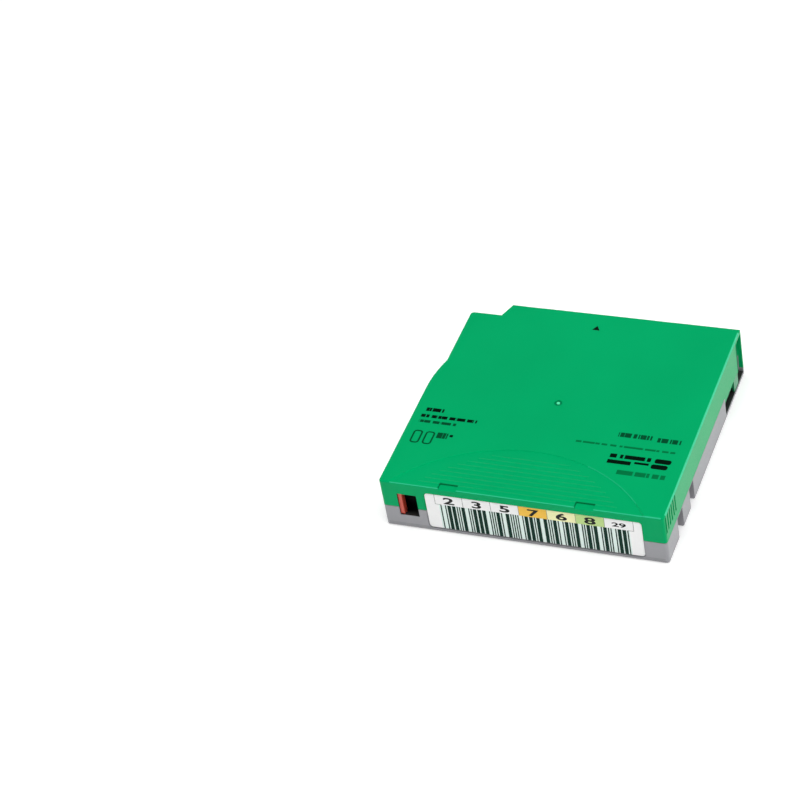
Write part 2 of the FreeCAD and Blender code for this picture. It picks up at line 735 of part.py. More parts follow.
# ---------------------------------------------------------------- brake
def brake_button():
    """Toothed disc on a keyed tube, pressed into the hub's teeth by its spring."""
    disc = cylinder(REEL_AXIS, BRAKE_R, BRAKE_DISC_Z)
    tube = ring(REEL_AXIS, BRAKE_TUBE_R, (BRAKE_DISC_Z[1], BRAKE_TUBE_TOP))
    for angle in (0, 90, 180, 270):
        width = KEY[0] + 2 * KEY_GAP
        key_way = radial_block((0, KEY[1] + KEY_GAP), width, (BRAKE_DISC_Z[1], CEILING_Z), angle)
        tube = tube.cut(key_way)
    parts = [tube, turned(NUB_PROFILE, REEL_AXIS)]
    step = 360 / TEETH
    angles = [(index + 0.5) * step for index in range(TEETH)]
    tooth_bar = face_tooth(BRAKE_TOOTH_R, BRAKE_TOOTH, BRAKE_MESH_Z[1], -1)
    return fused(disc, parts + tooth_ring(tooth_bar, angles))


def brake_spring():
    """Compression spring between the ceiling and the brake button."""
    radius, wire, turns = BRAKE_SPRING
    spring = coil(radius, wire, turns, CEILING_Z - BRAKE_DISC_Z[1])
    spring.translate(Vector(REEL_X, 0, BRAKE_DISC_Z[1]))
    return spring


def release_pad():
    """Three-armed pad whose legs reach down between the drive gear's teeth."""
    hub = cylinder(REEL_AXIS, PAD_R, PAD_Z)
    parts = []
    for angle in LEG_ANGLES:
        parts.append(radial_block((0, PAD_LEG_R[1]), PAD_ARM_WIDTH, PAD_Z, angle))
        parts.append(radial_block(PAD_LEG_R, PAD_ARM_WIDTH, (PAD_LEG_Z, PAD_Z[1]), angle))
    return fused(hub, parts)


# ---------------------------------------------------------------- door and slider
def door():
    """Sliding panel with the tab that a drive pushes, and a post for its spring."""
    panel = box(DOOR_X, DOOR_Y, DOOR_Z)
    tab = box((DOOR_X[1], DOOR_TAB_X), DOOR_TAB_Y, DOOR_TAB_Z)
    seat_x = (SPRING_AXIS[0] - SPRING_SEAT[0], DOOR_X[1])
    seat_z = (SPRING_AXIS[1] - SPRING_SEAT[1], SPRING_AXIS[1] + SPRING_SEAT[1])
    seat = box(seat_x, (SPRING_Y[1], DOOR_Y[0]), seat_z)
    base = Vector(SPRING_AXIS[0], SPRING_Y[1] - SPRING_POST[1], SPRING_AXIS[1])
    post = Part.makeCylinder(SPRING_POST[0], SPRING_POST[1], base, Vector(0, 1, 0))
    return fused(panel, [tab, seat, post])


def door_spring():
    """Compression spring that pushes the door shut."""
    radius, wire, turns = DOOR_SPRING
    spring = coil(radius, wire, turns, SPRING_Y[1] - SPRING_Y[0])
    spring.rotate(Vector(0, 0, 0), Vector(1, 0, 0), -90)
    spring.translate(Vector(SPRING_AXIS[0], SPRING_Y[0], SPRING_AXIS[1]))
    return spring


def write_protect_slider():
    """Knob in the window and the foot that runs between the rails behind it."""
    x = (WINDOW_X[0] + SLIDER_GAP, WINDOW_X[0] + SLIDER_GAP + SLIDER_WIDTH)
    knob_z = (WINDOW_Z[0] + SLIDER_GAP, WINDOW_Z[1] - SLIDER_GAP)
    knob = box(x, (LABEL_Y + SLIDER_SET_BACK, LABEL_Y + WALL + 2 * SLIDER_GAP), knob_z)
    foot_z = (WINDOW_Z[0] - SLIDER_RAIL, WINDOW_Z[1] + SLIDER_RAIL)
    foot_y = LABEL_Y + WALL + SLIDER_GAP
    foot = box((x[0] - SLIDER_FOOT[0], x[1]), (foot_y, foot_y + SLIDER_FOOT[1]), foot_z)
    return fused(knob, [foot])


# ---------------------------------------------------------------- leader pin
def leader_pin():
    """Turned pin with a grooved head at each end."""
    pin = cylinder(PIN_AXIS, PIN_CORE_R, (PIN_DISCS_Z[0][0], PIN_DISCS_Z[-1][1]))
    return fused(pin, [cylinder(PIN_AXIS, PIN_DISC_R, z) for z in PIN_DISCS_Z])


def leader_clip():
    """Split tube that snaps over the tape's end on the pin."""
    tube = ring(PIN_AXIS, CLIP_R, TAPE_Z)
    half = CLIP_MOUTH / 2
    mouth_x = (PIN_AXIS[0] - CLIP_R[1] - PAST, PIN_AXIS[0])
    mouth = box(mouth_x, (PIN_AXIS[1] - half, PIN_AXIS[1] + half), TAPE_Z)
    return tube.cut(mouth)


def leaf(points, z):
    """Strip of spring steel that follows plan points, with round bends."""
    half = LEAF_T / 2
    pieces = []
    for (x0, y0), (x1, y1) in zip(points, points[1:]):
        length = math.hypot(x1 - x0, y1 - y0)
        strip = box((0, length), (-half, half), z)
        strip.rotate(Vector(0, 0, 0), UP, math.degrees(math.atan2(y1 - y0, x1 - x0)))
        strip.translate(Vector(x0, y0, 0))
        pieces.append(strip)
    pieces += [cylinder(point, half, z) for point in points[1:]]
    return fused(pieces[0], pieces[1:])


def leader_pin_spring():
    """One bent leaf with an arm at each end of the pin."""
    start = (LEAF_WEB_X[0], LEAF_Y)
    web_z = (LEAF_Z[0][0], LEAF_Z[1][1])
    web = leaf([start, (LEAF_WEB_X[1], LEAF_Y)], web_z)
    arms = [leaf([start, *LEAF_BEND], z) for z in LEAF_Z]
    return fused(web, arms)


def tape_run():
    """The tape's free end, from the outer turn to the leader pin."""
    start_y, end_y = TAPE_RUN_Y
    half = TAPE_RUN_T / 2
    points = [
        (REEL_X, start_y - half),
        (TAPE_RUN_END_X, end_y - half),
        (TAPE_RUN_END_X, end_y + half),
        (REEL_X, start_y + half),
    ]
    return prism(points, TAPE_Z)


# ---------------------------------------------------------------- tag, label and screws
def on_tag(size, lift):
    """Plate that lies on the tag's tilted plane, a lift above its underside."""
    plate = Part.makeBox(*size, Vector(-size[0] / 2, -size[1] / 2, lift))
    plate.rotate(Vector(0, 0, 0), Vector(1, 0, 0), -TAG_TILT)
    half_drop = TAG_SIZE[1] / 2 * math.sin(math.radians(TAG_TILT))
    z = FLOOR_Z + half_drop
    plate.translate(Vector(TAG_X, tag_foot_y() + FLOOR_Z - z, z))
    return plate


def memory_board():
    """Flat board with the tag's aerial."""
    return on_tag(TAG_SIZE, 0)


def memory_chip():
    """Potted chip on the upper side of the board."""
    return on_tag(CHIP_SIZE, TAG_SIZE[2])


def volume_label():
    """Paper label on the floor of its recess."""
    face_y = LABEL_Y + LABEL_RECESS
    block = box(LABEL_X, (face_y - LABEL_THICKNESS, face_y), LABEL_Z)
    return rounded_along_y(block, LABEL_R)


def shell_screws():
    """Four screws, put in from below."""
    screws = []
    for centre in SCREWS:
        head = cylinder(centre, SCREW_HEAD_R, SCREW_HEAD_Z)
        shank = cylinder(centre, SCREW_SHANK_R, (SCREW_HEAD_Z[1], SCREW_TOP_Z))
        screws.append(fused(head, [shank]))
    return Part.makeCompound(screws)


PIECES = [
    top_shell,
    bottom_shell,
    reel_hub,
    upper_flange,
    reel_plate,
    tape_pack,
    tape_run,
    brake_button,
    brake_spring,
    release_pad,
    door,
    door_spring,
    write_protect_slider,
    leader_pin,
    leader_clip,
    leader_pin_spring,
    memory_board,
    memory_chip,
    volume_label,
    shell_screws,
]


def main():
    """Build each piece and write it to its own file."""
    os.makedirs("parts", exist_ok=True)
    for piece in PIECES:
        shape = piece()
        shape.exportStep("parts/" + piece.__name__ + ".step")
        print(f"{piece.__name__:22s} solids {len(shape.Solids)}  {shape.Volume / 1000:8.3f} cm3")


main()
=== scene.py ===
"""Looks of a data tape cartridge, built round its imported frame, in metres with +Z up."""
import functools
import logging
import math
from collections.abc import Callable, Iterable
from dataclasses import dataclass, field
from enum import Enum

import bpy
from mathutils import Matrix, Vector


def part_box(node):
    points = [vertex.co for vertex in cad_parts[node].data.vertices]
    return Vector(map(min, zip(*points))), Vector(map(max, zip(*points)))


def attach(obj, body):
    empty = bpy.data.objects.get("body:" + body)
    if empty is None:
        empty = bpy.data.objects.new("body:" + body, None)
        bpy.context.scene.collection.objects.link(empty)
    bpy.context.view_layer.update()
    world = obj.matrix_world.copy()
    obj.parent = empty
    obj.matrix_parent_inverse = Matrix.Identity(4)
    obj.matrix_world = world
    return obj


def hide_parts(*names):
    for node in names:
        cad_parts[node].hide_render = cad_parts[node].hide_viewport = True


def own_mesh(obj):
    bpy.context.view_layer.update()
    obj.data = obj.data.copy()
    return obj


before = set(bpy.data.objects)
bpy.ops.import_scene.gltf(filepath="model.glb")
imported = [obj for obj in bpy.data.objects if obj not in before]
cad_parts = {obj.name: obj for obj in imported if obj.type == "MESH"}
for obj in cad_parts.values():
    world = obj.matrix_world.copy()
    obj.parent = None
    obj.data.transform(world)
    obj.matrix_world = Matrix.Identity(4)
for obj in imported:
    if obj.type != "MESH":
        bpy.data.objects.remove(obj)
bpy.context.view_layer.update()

MM = 0.001
# Ends closer than LEVEL count as level, and points closer than MERGE as one.
LEVEL = 0.1 * MM
MERGE = 0.001 * MM
# At a scale of one the wave texture runs through this many radians in a metre.
WAVE_RADIANS = 20
LOG = logging.getLogger("tape_cartridge")


# ------------------------------------------------------------------------- colours and nodes
def linear(hex_colour: str) -> tuple[float, float, float, float]:
    """Turn an sRGB hex colour into linear RGBA.

    Args:
        hex_colour: Colour written as "#RRGGBB".

    Returns:
        The linear colour with an alpha of one.
    """
    channels = []
    for start in (1, 3, 5):
        value = int(hex_colour[start:start + 2], 16) / 255
        channels.append(value / 12.92 if value <= 0.04045 else ((value + 0.055) / 1.055) ** 2.4)
    return (*channels, 1.0)


def per_metre(size_mm: float) -> float:
    """Return the texture scale on Object coordinates whose features are this many mm wide."""
    return 1 / (size_mm * MM)


def wave_scale(radian_mm: float) -> float:
    """Return the wave texture's scale at which one radian of the wave is this many mm long."""
    return per_metre(radian_mm) / WAVE_RADIANS


def add_node(
    tree: bpy.types.NodeTree,
    kind: str,
    inputs: dict[str | int, object] | None = None,
    **settings: object,
) -> bpy.types.Node:
    """Add a node with its settings, values and links.

    Args:
        tree: Node tree of a material or of the world.
        kind: Blender's type name of the node.
        inputs: For each input socket, the output that feeds it or the value it holds.
        **settings: Properties of the node itself.

    Returns:
        The new node.
    """
    node = tree.nodes.new(kind)
    for name, value in settings.items():
        setattr(node, name, value)
    for socket, value in (inputs or {}).items():
        if isinstance(value, bpy.types.NodeSocket):
            tree.links.new(value, node.inputs[socket])
        else:
            node.inputs[socket].default_value = value
    return node


def object_point(tree: bpy.types.NodeTree) -> bpy.types.NodeSocket:
    """Return the Object coordinate, which is the place in the cartridge in metres."""
    return add_node(tree, "ShaderNodeTexCoord").outputs["Object"]


def noise(
    tree: bpy.types.NodeTree, point: bpy.types.NodeSocket, size_mm: float, detail: float = 2.0
) -> bpy.types.NodeSocket:
    """Return a noise value whose grains are about this many mm wide."""
    values = {"Vector": point, "Scale": per_metre(size_mm), "Detail": detail}
    return add_node(tree, "ShaderNodeTexNoise", values).outputs["Fac"]


def spread(
    tree: bpy.types.NodeTree, value: bpy.types.NodeSocket, low: float, high: float
) -> bpy.types.NodeSocket:
    """Return a noise value mapped from its usual middle range to low..high."""
    values = {"Value": value, "From Min": 0.3, "From Max": 0.7, "To Min": low, "To Max": high}
    return add_node(tree, "ShaderNodeMapRange", values).outputs["Result"]


def shaded(hex_colour: str, factor: float) -> tuple[float, float, float, float]:
    """Return a linear colour made lighter or darker by a factor."""
    red, green, blue, alpha = linear(hex_colour)
    return (red * factor, green * factor, blue * factor, alpha)


def mixed(
    tree: bpy.types.NodeTree, factor: object, first: object, second: object
) -> bpy.types.NodeSocket:
    """Return the colour between two colours, each a socket or a linear RGBA value."""
    node = add_node(tree, "ShaderNodeMix", {0: factor, 6: first, 7: second}, data_type="RGBA")
    return node.outputs[2]


# ------------------------------------------------------------------------- finishes
def rounded_patch(
    tree: bpy.types.NodeTree,
    point: bpy.types.NodeSocket,
    middle: tuple[float, float, float],
    size: tuple[float, float, float],
    corner: float,
) -> bpy.types.NodeSocket:
    """Build the mask of a block with rounded corners in Object coordinates.

    Args:
        tree: Node tree of the material.
        point: Object coordinate.
        middle: Middle of the block in mm.
        size: Full size of the block in mm.
        corner: Corner radius in mm.

    Returns:
        A value that is one inside the block.
    """
    values = {0: point, 1: Vector(middle) * MM}
    centred = add_node(tree, "ShaderNodeVectorMath", values, operation="SUBTRACT").outputs[0]
    folded = add_node(tree, "ShaderNodeVectorMath", {0: centred}, operation="ABSOLUTE").outputs[0]
    core = [(length / 2 - corner) * MM for length in size]
    past = add_node(tree, "ShaderNodeVectorMath", {0: folded, 1: core}, operation="SUBTRACT")
    values = {0: past.outputs[0], 1: (0.0, 0.0, 0.0)}
    outside = add_node(tree, "ShaderNodeVectorMath", values, operation="MAXIMUM").outputs[0]
    distance = add_node(tree, "ShaderNodeVectorMath", {0: outside}, operation="LENGTH").outputs["Value"]
    values = {0: distance, 1: corner * MM}
    return add_node(tree, "ShaderNodeMath", values, operation="LESS_THAN").outputs[0]


# Noise above this level is printed, which leaves the gaps between dashes.
DASH_LEVEL = 0.42


class MarkColour(Enum):
    """Inks of the pad printing on the top, and the pale green of a painted highlight."""

    BLACK = "#001208"
    DARK_GREEN = "#004A2A"
    PALE_GREEN = "#00713F"
    PAINTED_HIGHLIGHT = "#1CB57B"


@dataclass(frozen=True)
class TopMark:
    """A printed shape or a painted highlight on the top, with its middle and size in mm and its colour.

    Word_mm breaks it into word-like dashes of that mean length. Outline_mm leaves only its edge,
    that wide, and only where X in mm is in reach_mm.
    """

    middle: tuple[float, float]
    size: tuple[float, float]
    colour: MarkColour = MarkColour.BLACK
    word_mm: float = 0.0
    outline_mm: float = 0.0
    corner_mm: float = 0.15
    reach_mm: tuple[float, float] = (-60.0, 60.0)

    def mask(
        self, tree: bpy.types.NodeTree, point: bpy.types.NodeSocket, height_mm: float
    ) -> bpy.types.NodeSocket:
        """Build the mask of the mark.

        Args:
            tree: Node tree of the material.
            point: Object coordinate.
            height_mm: Height of the printed face.

        Returns:
            A value that is one where the mark is.
        """
        across = add_node(tree, "ShaderNodeSeparateXYZ", {0: point}).outputs[0]
        middle = (*self.middle, height_mm)
        depth = 4 * self.corner_mm
        whole = rounded_patch(tree, point, middle, (*self.size, depth), self.corner_mm)
        if self.outline_mm:
            inner = [length - 2 * self.outline_mm for length in self.size]
            corner = max(self.corner_mm - self.outline_mm, self.corner_mm / 4)
            hole = rounded_patch(tree, point, middle, (*inner, depth), corner)
            values = {0: whole, 1: hole}
            edge = add_node(tree, "ShaderNodeMath", values, operation="SUBTRACT").outputs[0]
            start, stop = self.reach_mm
            values = {0: across, 1: (start + stop) / 2 * MM, 2: (stop - start) / 2 * MM}
            near = add_node(tree, "ShaderNodeMath", values, operation="COMPARE").outputs[0]
            values = {0: edge, 1: near}
            return add_node(tree, "ShaderNodeMath", values, operation="MULTIPLY").outputs[0]
        if not self.word_mm:
            return whole
        values = {"W": across, "Scale": per_metre(self.word_mm), "Detail": 3.0}
        words = add_node(tree, "ShaderNodeTexNoise", values, noise_dimensions="1D").outputs["Fac"]
        values = {0: words, 1: DASH_LEVEL}
        dashes = add_node(tree, "ShaderNodeMath", values, operation="GREATER_THAN").outputs[0]
        values = {0: whole, 1: dashes}
        return add_node(tree, "ShaderNodeMath", values, operation="MULTIPLY").outputs[0]


@dataclass(frozen=True)
class PaintedLightPatch:
    """A block of a moulding drawn lighter or darker as painted shade or a painted highlight, with its
    middle and size in mm.
    """

    middle: tuple[float, float, float]
    size: tuple[float, float, float]
    colour: str
    corner_mm: float = 0.1


@dataclass(frozen=True)
class MouldedPlastic:
    """Injection-moulded plastic: an even satin skin with the mould's fine spark-eroded grain.

    Its painted-light patches add painted shade in deep hollows and painted highlights along edges.
    """

    name: str
    colour: str
    roughness: float = 0.45
    grain_mm: float = 0.5
    grain_height_mm: float = 0.012
    shade: float = 0.03
    cloud_mm: float = 28.0
    ior: float = 1.5
    sheen_tint: str = "#FFFFFF"
    subsurface: float = 0.0
    painted_light: tuple[PaintedLightPatch, ...] = ()
    roughness_spread: float = 0.05

    def base_colour(
        self, tree: bpy.types.NodeTree, point: bpy.types.NodeSocket
    ) -> bpy.types.NodeSocket:
        """Build the pigment, a little uneven where the melt flowed.

        Args:
            tree: Node tree of the material.
            point: Object coordinate.

        Returns:
            The colour output.
        """
        cloud = spread(tree, noise(tree, point, self.cloud_mm), 0.0, 1.0)
        dark = shaded(self.colour, 1 - self.shade)
        light = shaded(self.colour, 1 + self.shade)
        colour = mixed(tree, cloud, dark, light)
        # Painted shade and painted highlights go over the pigment, one patch after another.
        for patch in self.painted_light:
            mask = rounded_patch(tree, point, patch.middle, patch.size, patch.corner_mm)
            colour = mixed(tree, mask, colour, linear(patch.colour))
        return colour

    def make(self) -> bpy.types.Material:
        """Build the material."""
        material, tree, shader = new_material(self.name)
        point = object_point(tree)
        tree.links.new(self.base_colour(tree, point), shader.inputs["Base Color"])
        # The real grain is about 0.1 mm; it is drawn coarser so that it shows.
        grain = noise(tree, point, self.grain_mm, 3.0)
        low, high = self.roughness - self.roughness_spread, self.roughness + self.roughness_spread
        rough = spread(tree, grain, low, high)
        tree.links.new(rough, shader.inputs["Roughness"])
        bump = {"Height": grain, "Distance": self.grain_height_mm * MM, "Strength": 1.0}
        tree.links.new(add_node(tree, "ShaderNodeBump", bump).outputs[0], shader.inputs["Normal"])
        shader.inputs["IOR"].default_value = self.ior
        shader.inputs["Specular Tint"].default_value = linear(self.sheen_tint)
        if self.subsurface:
            shader.inputs["Subsurface Weight"].default_value = self.subsurface
            shader.inputs["Subsurface Scale"].default_value = MM
        return material


@dataclass(frozen=True)
class PrintedPlastic(MouldedPlastic):
    """Moulded plastic with marks on its upper face."""

    print_height_mm: float = 21.5
    marks: tuple[TopMark, ...] = ()

    def base_colour(
        self, tree: bpy.types.NodeTree, point: bpy.types.NodeSocket
    ) -> bpy.types.NodeSocket:
        """Build the pigment with the marks over it.

        Args:
            tree: Node tree of the material.
            point: Object coordinate.

        Returns:
            The colour output.
        """
        colour = super().base_colour(tree, point)
        for mark in self.marks:
            mask = mark.mask(tree, point, self.print_height_mm)
            colour = mixed(tree, mask, colour, linear(mark.colour.value))
        return colour


class Lay(Enum):
    """Direction of the fine marks that making a metal part leaves."""

    TURNED = "turned round the reel's axis"
    DRAWN = "drawn along X"
    STAMPED = "rolled sheet, marks along Y"


@dataclass(frozen=True)
class Metal:
    """Bare metal with the fine parallel marks of how it was made."""

    name: str
    colour: str
    roughness: float
    lay: Lay
    mark_mm: float = 0.12
    mark_height_mm: float = 0.004
    mark_shades: tuple[float, float] = (0.9, 1.08)

    def make(self) -> bpy.types.Material:
        """Build the material."""
        material, tree, shader = new_material(self.name)
        point = object_point(tree)
        squeeze = {Lay.TURNED: (1, 1, 1), Lay.DRAWN: (0.05, 1, 1), Lay.STAMPED: (1, 0.03, 1)}
        values = {"Vector": point, "Scale": squeeze[self.lay]}
        marks = noise(tree, add_node(tree, "ShaderNodeMapping", values).outputs[0], self.mark_mm)
        dark, light = (shaded(self.colour, shade) for shade in self.mark_shades)
        tint = mixed(tree, marks, dark, light)
        tree.links.new(tint, shader.inputs["Base Color"])
        rough = spread(tree, marks, self.roughness - 0.06, self.roughness + 0.08)
        tree.links.new(rough, shader.inputs["Roughness"])
        shader.inputs["Metallic"].default_value = 1.0
        bump = {"Height": marks, "Distance": self.mark_height_mm * MM, "Strength": 1.0}
        tree.links.new(add_node(tree, "ShaderNodeBump", bump).outputs[0], shader.inputs["Normal"])
        return material


@dataclass(frozen=True)
class WoundFilm:
    """Coated polyester tape: near-black, glossy, with its turns showing as rings on the side."""

    name: str = "coated_polyester_tape"
    colour: str = "#2B2523"
    edge_colour: str = "#4A3F39"
    ring_radian_mm: float = 0.35
    ring_waver: float = 0.6
    ring_height_mm: float = 0.02
    ring_strength: float = 0.6
    roughness: float = 0.25

    def make(self) -> bpy.types.Material:
        """Build the material."""
        material, tree, shader = new_material(self.name)
        low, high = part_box("tape_pack")
        axis = (low + high) / 2
        values = {"Vector": object_point(tree), "Location": (-axis.x, -axis.y, 0.0)}
        centred = add_node(tree, "ShaderNodeMapping", values).outputs[0]
        # Real turns are microns thick; the rings stand for bundles of them.
        scale = wave_scale(self.ring_radian_mm)
        values = {"Vector": centred, "Scale": scale, "Distortion": self.ring_waver}
        rings = add_node(
            tree, "ShaderNodeTexWave", values, wave_type="RINGS", rings_direction="Z"
        ).outputs["Fac"]
        colour = mixed(tree, rings, linear(self.colour), linear(self.edge_colour))
        tree.links.new(colour, shader.inputs["Base Color"])
        shader.inputs["Roughness"].default_value = self.roughness
        depth = self.ring_height_mm * MM
        bump = {"Height": rings, "Distance": depth, "Strength": self.ring_strength}
        tree.links.new(add_node(tree, "ShaderNodeBump", bump).outputs[0], shader.inputs["Normal"])
        return material


@dataclass(frozen=True)
class CoatedPaper:
    """Coated label paper: smooth and matt, with a trace of fibre and a pale tint under the bars."""

    name: str
    colour: str
    tint: str
    tint_x_mm: tuple[float, float] = (0.0, 0.0)
    tint_z_mm: tuple[float, float] = (0.0, 0.0)
    fibre_mm: float = 0.6
    fibre_height_mm: float = 0.004
    fibre_shade: float = 0.97
    roughness: float = 0.55

    def make(self) -> bpy.types.Material:
        """Build the material."""
        material, tree, shader = new_material(self.name)
        point = object_point(tree)
        axes = add_node(tree, "ShaderNodeSeparateXYZ", {0: point})
        sides = []
        for output, span in ((0, self.tint_x_mm), (2, self.tint_z_mm)):
            middle = (span[0] + span[1]) / 2 * MM
            values = {0: axes.outputs[output], 1: middle, 2: (span[1] - span[0]) / 2 * MM}
            sides.append(add_node(tree, "ShaderNodeMath", values, operation="COMPARE").outputs[0])
        values = {0: sides[0], 1: sides[1]}
        tinted = add_node(tree, "ShaderNodeMath", values, operation="MULTIPLY").outputs[0]
        fibre = noise(tree, point, self.fibre_mm, 4.0)
        paper = mixed(tree, fibre, shaded(self.colour, self.fibre_shade), linear(self.colour))
        colour = mixed(tree, tinted, paper, linear(self.tint))
        tree.links.new(colour, shader.inputs["Base Color"])
        shader.inputs["Roughness"].default_value = self.roughness
        bump = {"Height": fibre, "Distance": self.fibre_height_mm * MM, "Strength": 1.0}
        tree.links.new(add_node(tree, "ShaderNodeBump", bump).outputs[0], shader.inputs["Normal"])
        return material


@dataclass(frozen=True)
class Ink:
    """Printed ink, a thin even film with a slight mottle."""

    name: str
    colour: str
    roughness: float = 0.5
    ior: float = 1.2
    mottle_mm: float = 0.4
    mottle_shades: tuple[float, float] = (0.92, 1.04)

    def make(self) -> bpy.types.Material:
        """Build the material."""
        material, tree, shader = new_material(self.name)
        mottle = noise(tree, object_point(tree), self.mottle_mm, 3.0)
        dark, light = (shaded(self.colour, shade) for shade in self.mottle_shades)
        colour = mixed(tree, mottle, dark, light)
        tree.links.new(colour, shader.inputs["Base Color"])
        rough = spread(tree, mottle, self.roughness - 0.08, self.roughness + 0.05)
        tree.links.new(rough, shader.inputs["Roughness"])
        shader.inputs["IOR"].default_value = self.ior
        return material


@dataclass(frozen=True)
class CircuitBoard:
    """Green solder mask over an aerial's copper turns, which show as lighter rings."""

    name: str = "solder_mask"
    mask: str = "#16502B"
    copper: str = "#4F8A4A"
    turn_radian_mm: float = 0.9
    copper_level: float = 0.6
    copper_height_mm: float = 0.03
    copper_strength: float = 0.5
    roughness: float = 0.3

    def make(self) -> bpy.types.Material:
        """Build the material."""
        material, tree, shader = new_material(self.name)
        values = {"Vector": object_point(tree), "Scale": wave_scale(self.turn_radian_mm)}
        turns = add_node(tree, "ShaderNodeTexWave", values, bands_direction="DIAGONAL").outputs["Fac"]
        values = {0: turns, 1: self.copper_level}
        edge = add_node(tree, "ShaderNodeMath", values, operation="GREATER_THAN").outputs[0]
        colour = mixed(tree, edge, linear(self.mask), linear(self.copper))
        tree.links.new(colour, shader.inputs["Base Color"])
        shader.inputs["Roughness"].default_value = self.roughness
        depth = self.copper_height_mm * MM
        bump = {"Height": edge, "Distance": depth, "Strength": self.copper_strength}
        tree.links.new(add_node(tree, "ShaderNodeBump", bump).outputs[0], shader.inputs["Normal"])
        return material


AnyFinish = MouldedPlastic | Metal | WoundFilm | CoatedPaper | Ink | CircuitBoard


def new_material(name: str) -> tuple[bpy.types.Material, bpy.types.NodeTree, bpy.types.Node]:
    """Make an empty node material.

    Args:
        name: Name of the material.

    Returns:
        The material, its node tree and its Principled shader.
    """
    material = bpy.data.materials.new(name)
    material.use_nodes = True
    tree = material.node_tree
    tree.nodes.clear()
    shader = add_node(tree, "ShaderNodeBsdfPrincipled")
    add_node(tree, "ShaderNodeOutputMaterial", {"Surface": shader.outputs[0]})
    return material, tree, shader


@functools.cache
def material_of(finish: AnyFinish) -> bpy.types.Material:
    """Return the one material of a finish."""
    return finish.make()


def dress(obj: bpy.types.Object, finish: AnyFinish) -> None:
    """Give an object its finish as its only material.

    Args:
        obj: CAD node or new piece.
        finish: The finish it gets all over.
    """
    obj.data.materials.clear()
    obj.data.materials.append(material_of(finish))


# ------------------------------------------------------------------------- modelling helpers
def deselect() -> None:
    """Leave nothing selected, so that an operator acts only on what follows."""
    bpy.ops.object.select_all(action="DESELECT")


def activate(obj: bpy.types.Object) -> None:
    """Select one object alone and make it active."""
    deselect()
    obj.select_set(True)
    bpy.context.view_layer.objects.active = obj


def settle(obj: bpy.types.Object) -> None:
    """Move an object's place, turn and size into its mesh."""
    activate(obj)
    bpy.ops.object.transform_apply(location=True, rotation=True, scale=True)


def block(name: str, low: Vector, high: Vector) -> bpy.types.Object:
    """Add a cube between two corners.

    Args:
        name: Name of the new piece.
        low: Lowest corner in metres.
        high: Highest corner in metres.

    Returns:
        The cube, with its place in its mesh.
    """
    deselect()
    bpy.ops.mesh.primitive_cube_add(size=1, location=(low + high) / 2)
    obj = bpy.context.object
    obj.name = name
    obj.scale = high - low
    settle(obj)
    return obj


EdgeTest = Callable[[Vector, Vector], bool]


def bevel_edges(obj: bpy.types.Object, test: EdgeTest, width: float, segments: int) -> None:
    """Round the edges that a test picks.

    Args:
        obj: Object whose mesh is changed.
        test: Says whether the edge between two points is rounded.
        width: Radius in metres.
        segments: Facets of the rounding.
    """
    activate(obj)
    bpy.ops.object.mode_set(mode="EDIT")
    bpy.ops.mesh.select_mode(type="EDGE")
    bpy.ops.mesh.select_all(action="DESELECT")
    bpy.ops.object.mode_set(mode="OBJECT")
    points = obj.data.vertices
    for edge in obj.data.edges:
        first, second = edge.vertices
        edge.select = test(points[first].co, points[second].co)
    bpy.ops.object.mode_set(mode="EDIT")
    bpy.ops.mesh.bevel(offset=width, segments=segments, affect="EDGES")
    bpy.ops.object.mode_set(mode="OBJECT")


def smooth(obj: bpy.types.Object, degrees: float = 35.0) -> None:
    """Shade smooth, but keep edges sharper than an angle."""
    activate(obj)
    bpy.ops.object.shade_smooth_by_angle(angle=math.radians(degrees))


def joined(name: str, parts: Iterable[bpy.types.Object]) -> bpy.types.Object:
    """Join several objects into one.

    Args:
        name: Name of the joined piece.
        parts: Objects with their places in their meshes.

    Returns:
        The joined object.
    """
    parts = list(parts)
    activate(parts[0])
    for part in parts:
        part.select_set(True)
    bpy.ops.object.join()
    obj = bpy.context.object
    obj.name = name
    return obj


def copied(obj: bpy.types.Object, name: str, place: Matrix) -> bpy.types.Object:
    """Copy an object with its own mesh, and move the mesh.

    Args:
        obj: Object to copy, with its place in its mesh.
        name: Name of the copy.
        place: Matrix that takes the original's mesh to the copy's place.

    Returns:
        The copy.
    """
    copy = obj.copy()
    copy.data = obj.data.copy()
    copy.name = name
    copy.data.transform(place)
    bpy.context.scene.collection.objects.link(copy)
    return copy


def report(obj: bpy.types.Object, body: str) -> None:
    """Let a finished piece ride on its body and log it."""
    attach(obj, body)
    LOG.info("%s: %d faces, rides on %s", obj.name, len(obj.data.polygons), body)


# ------------------------------------------------------------------------- case
GREEN = "#00A765"

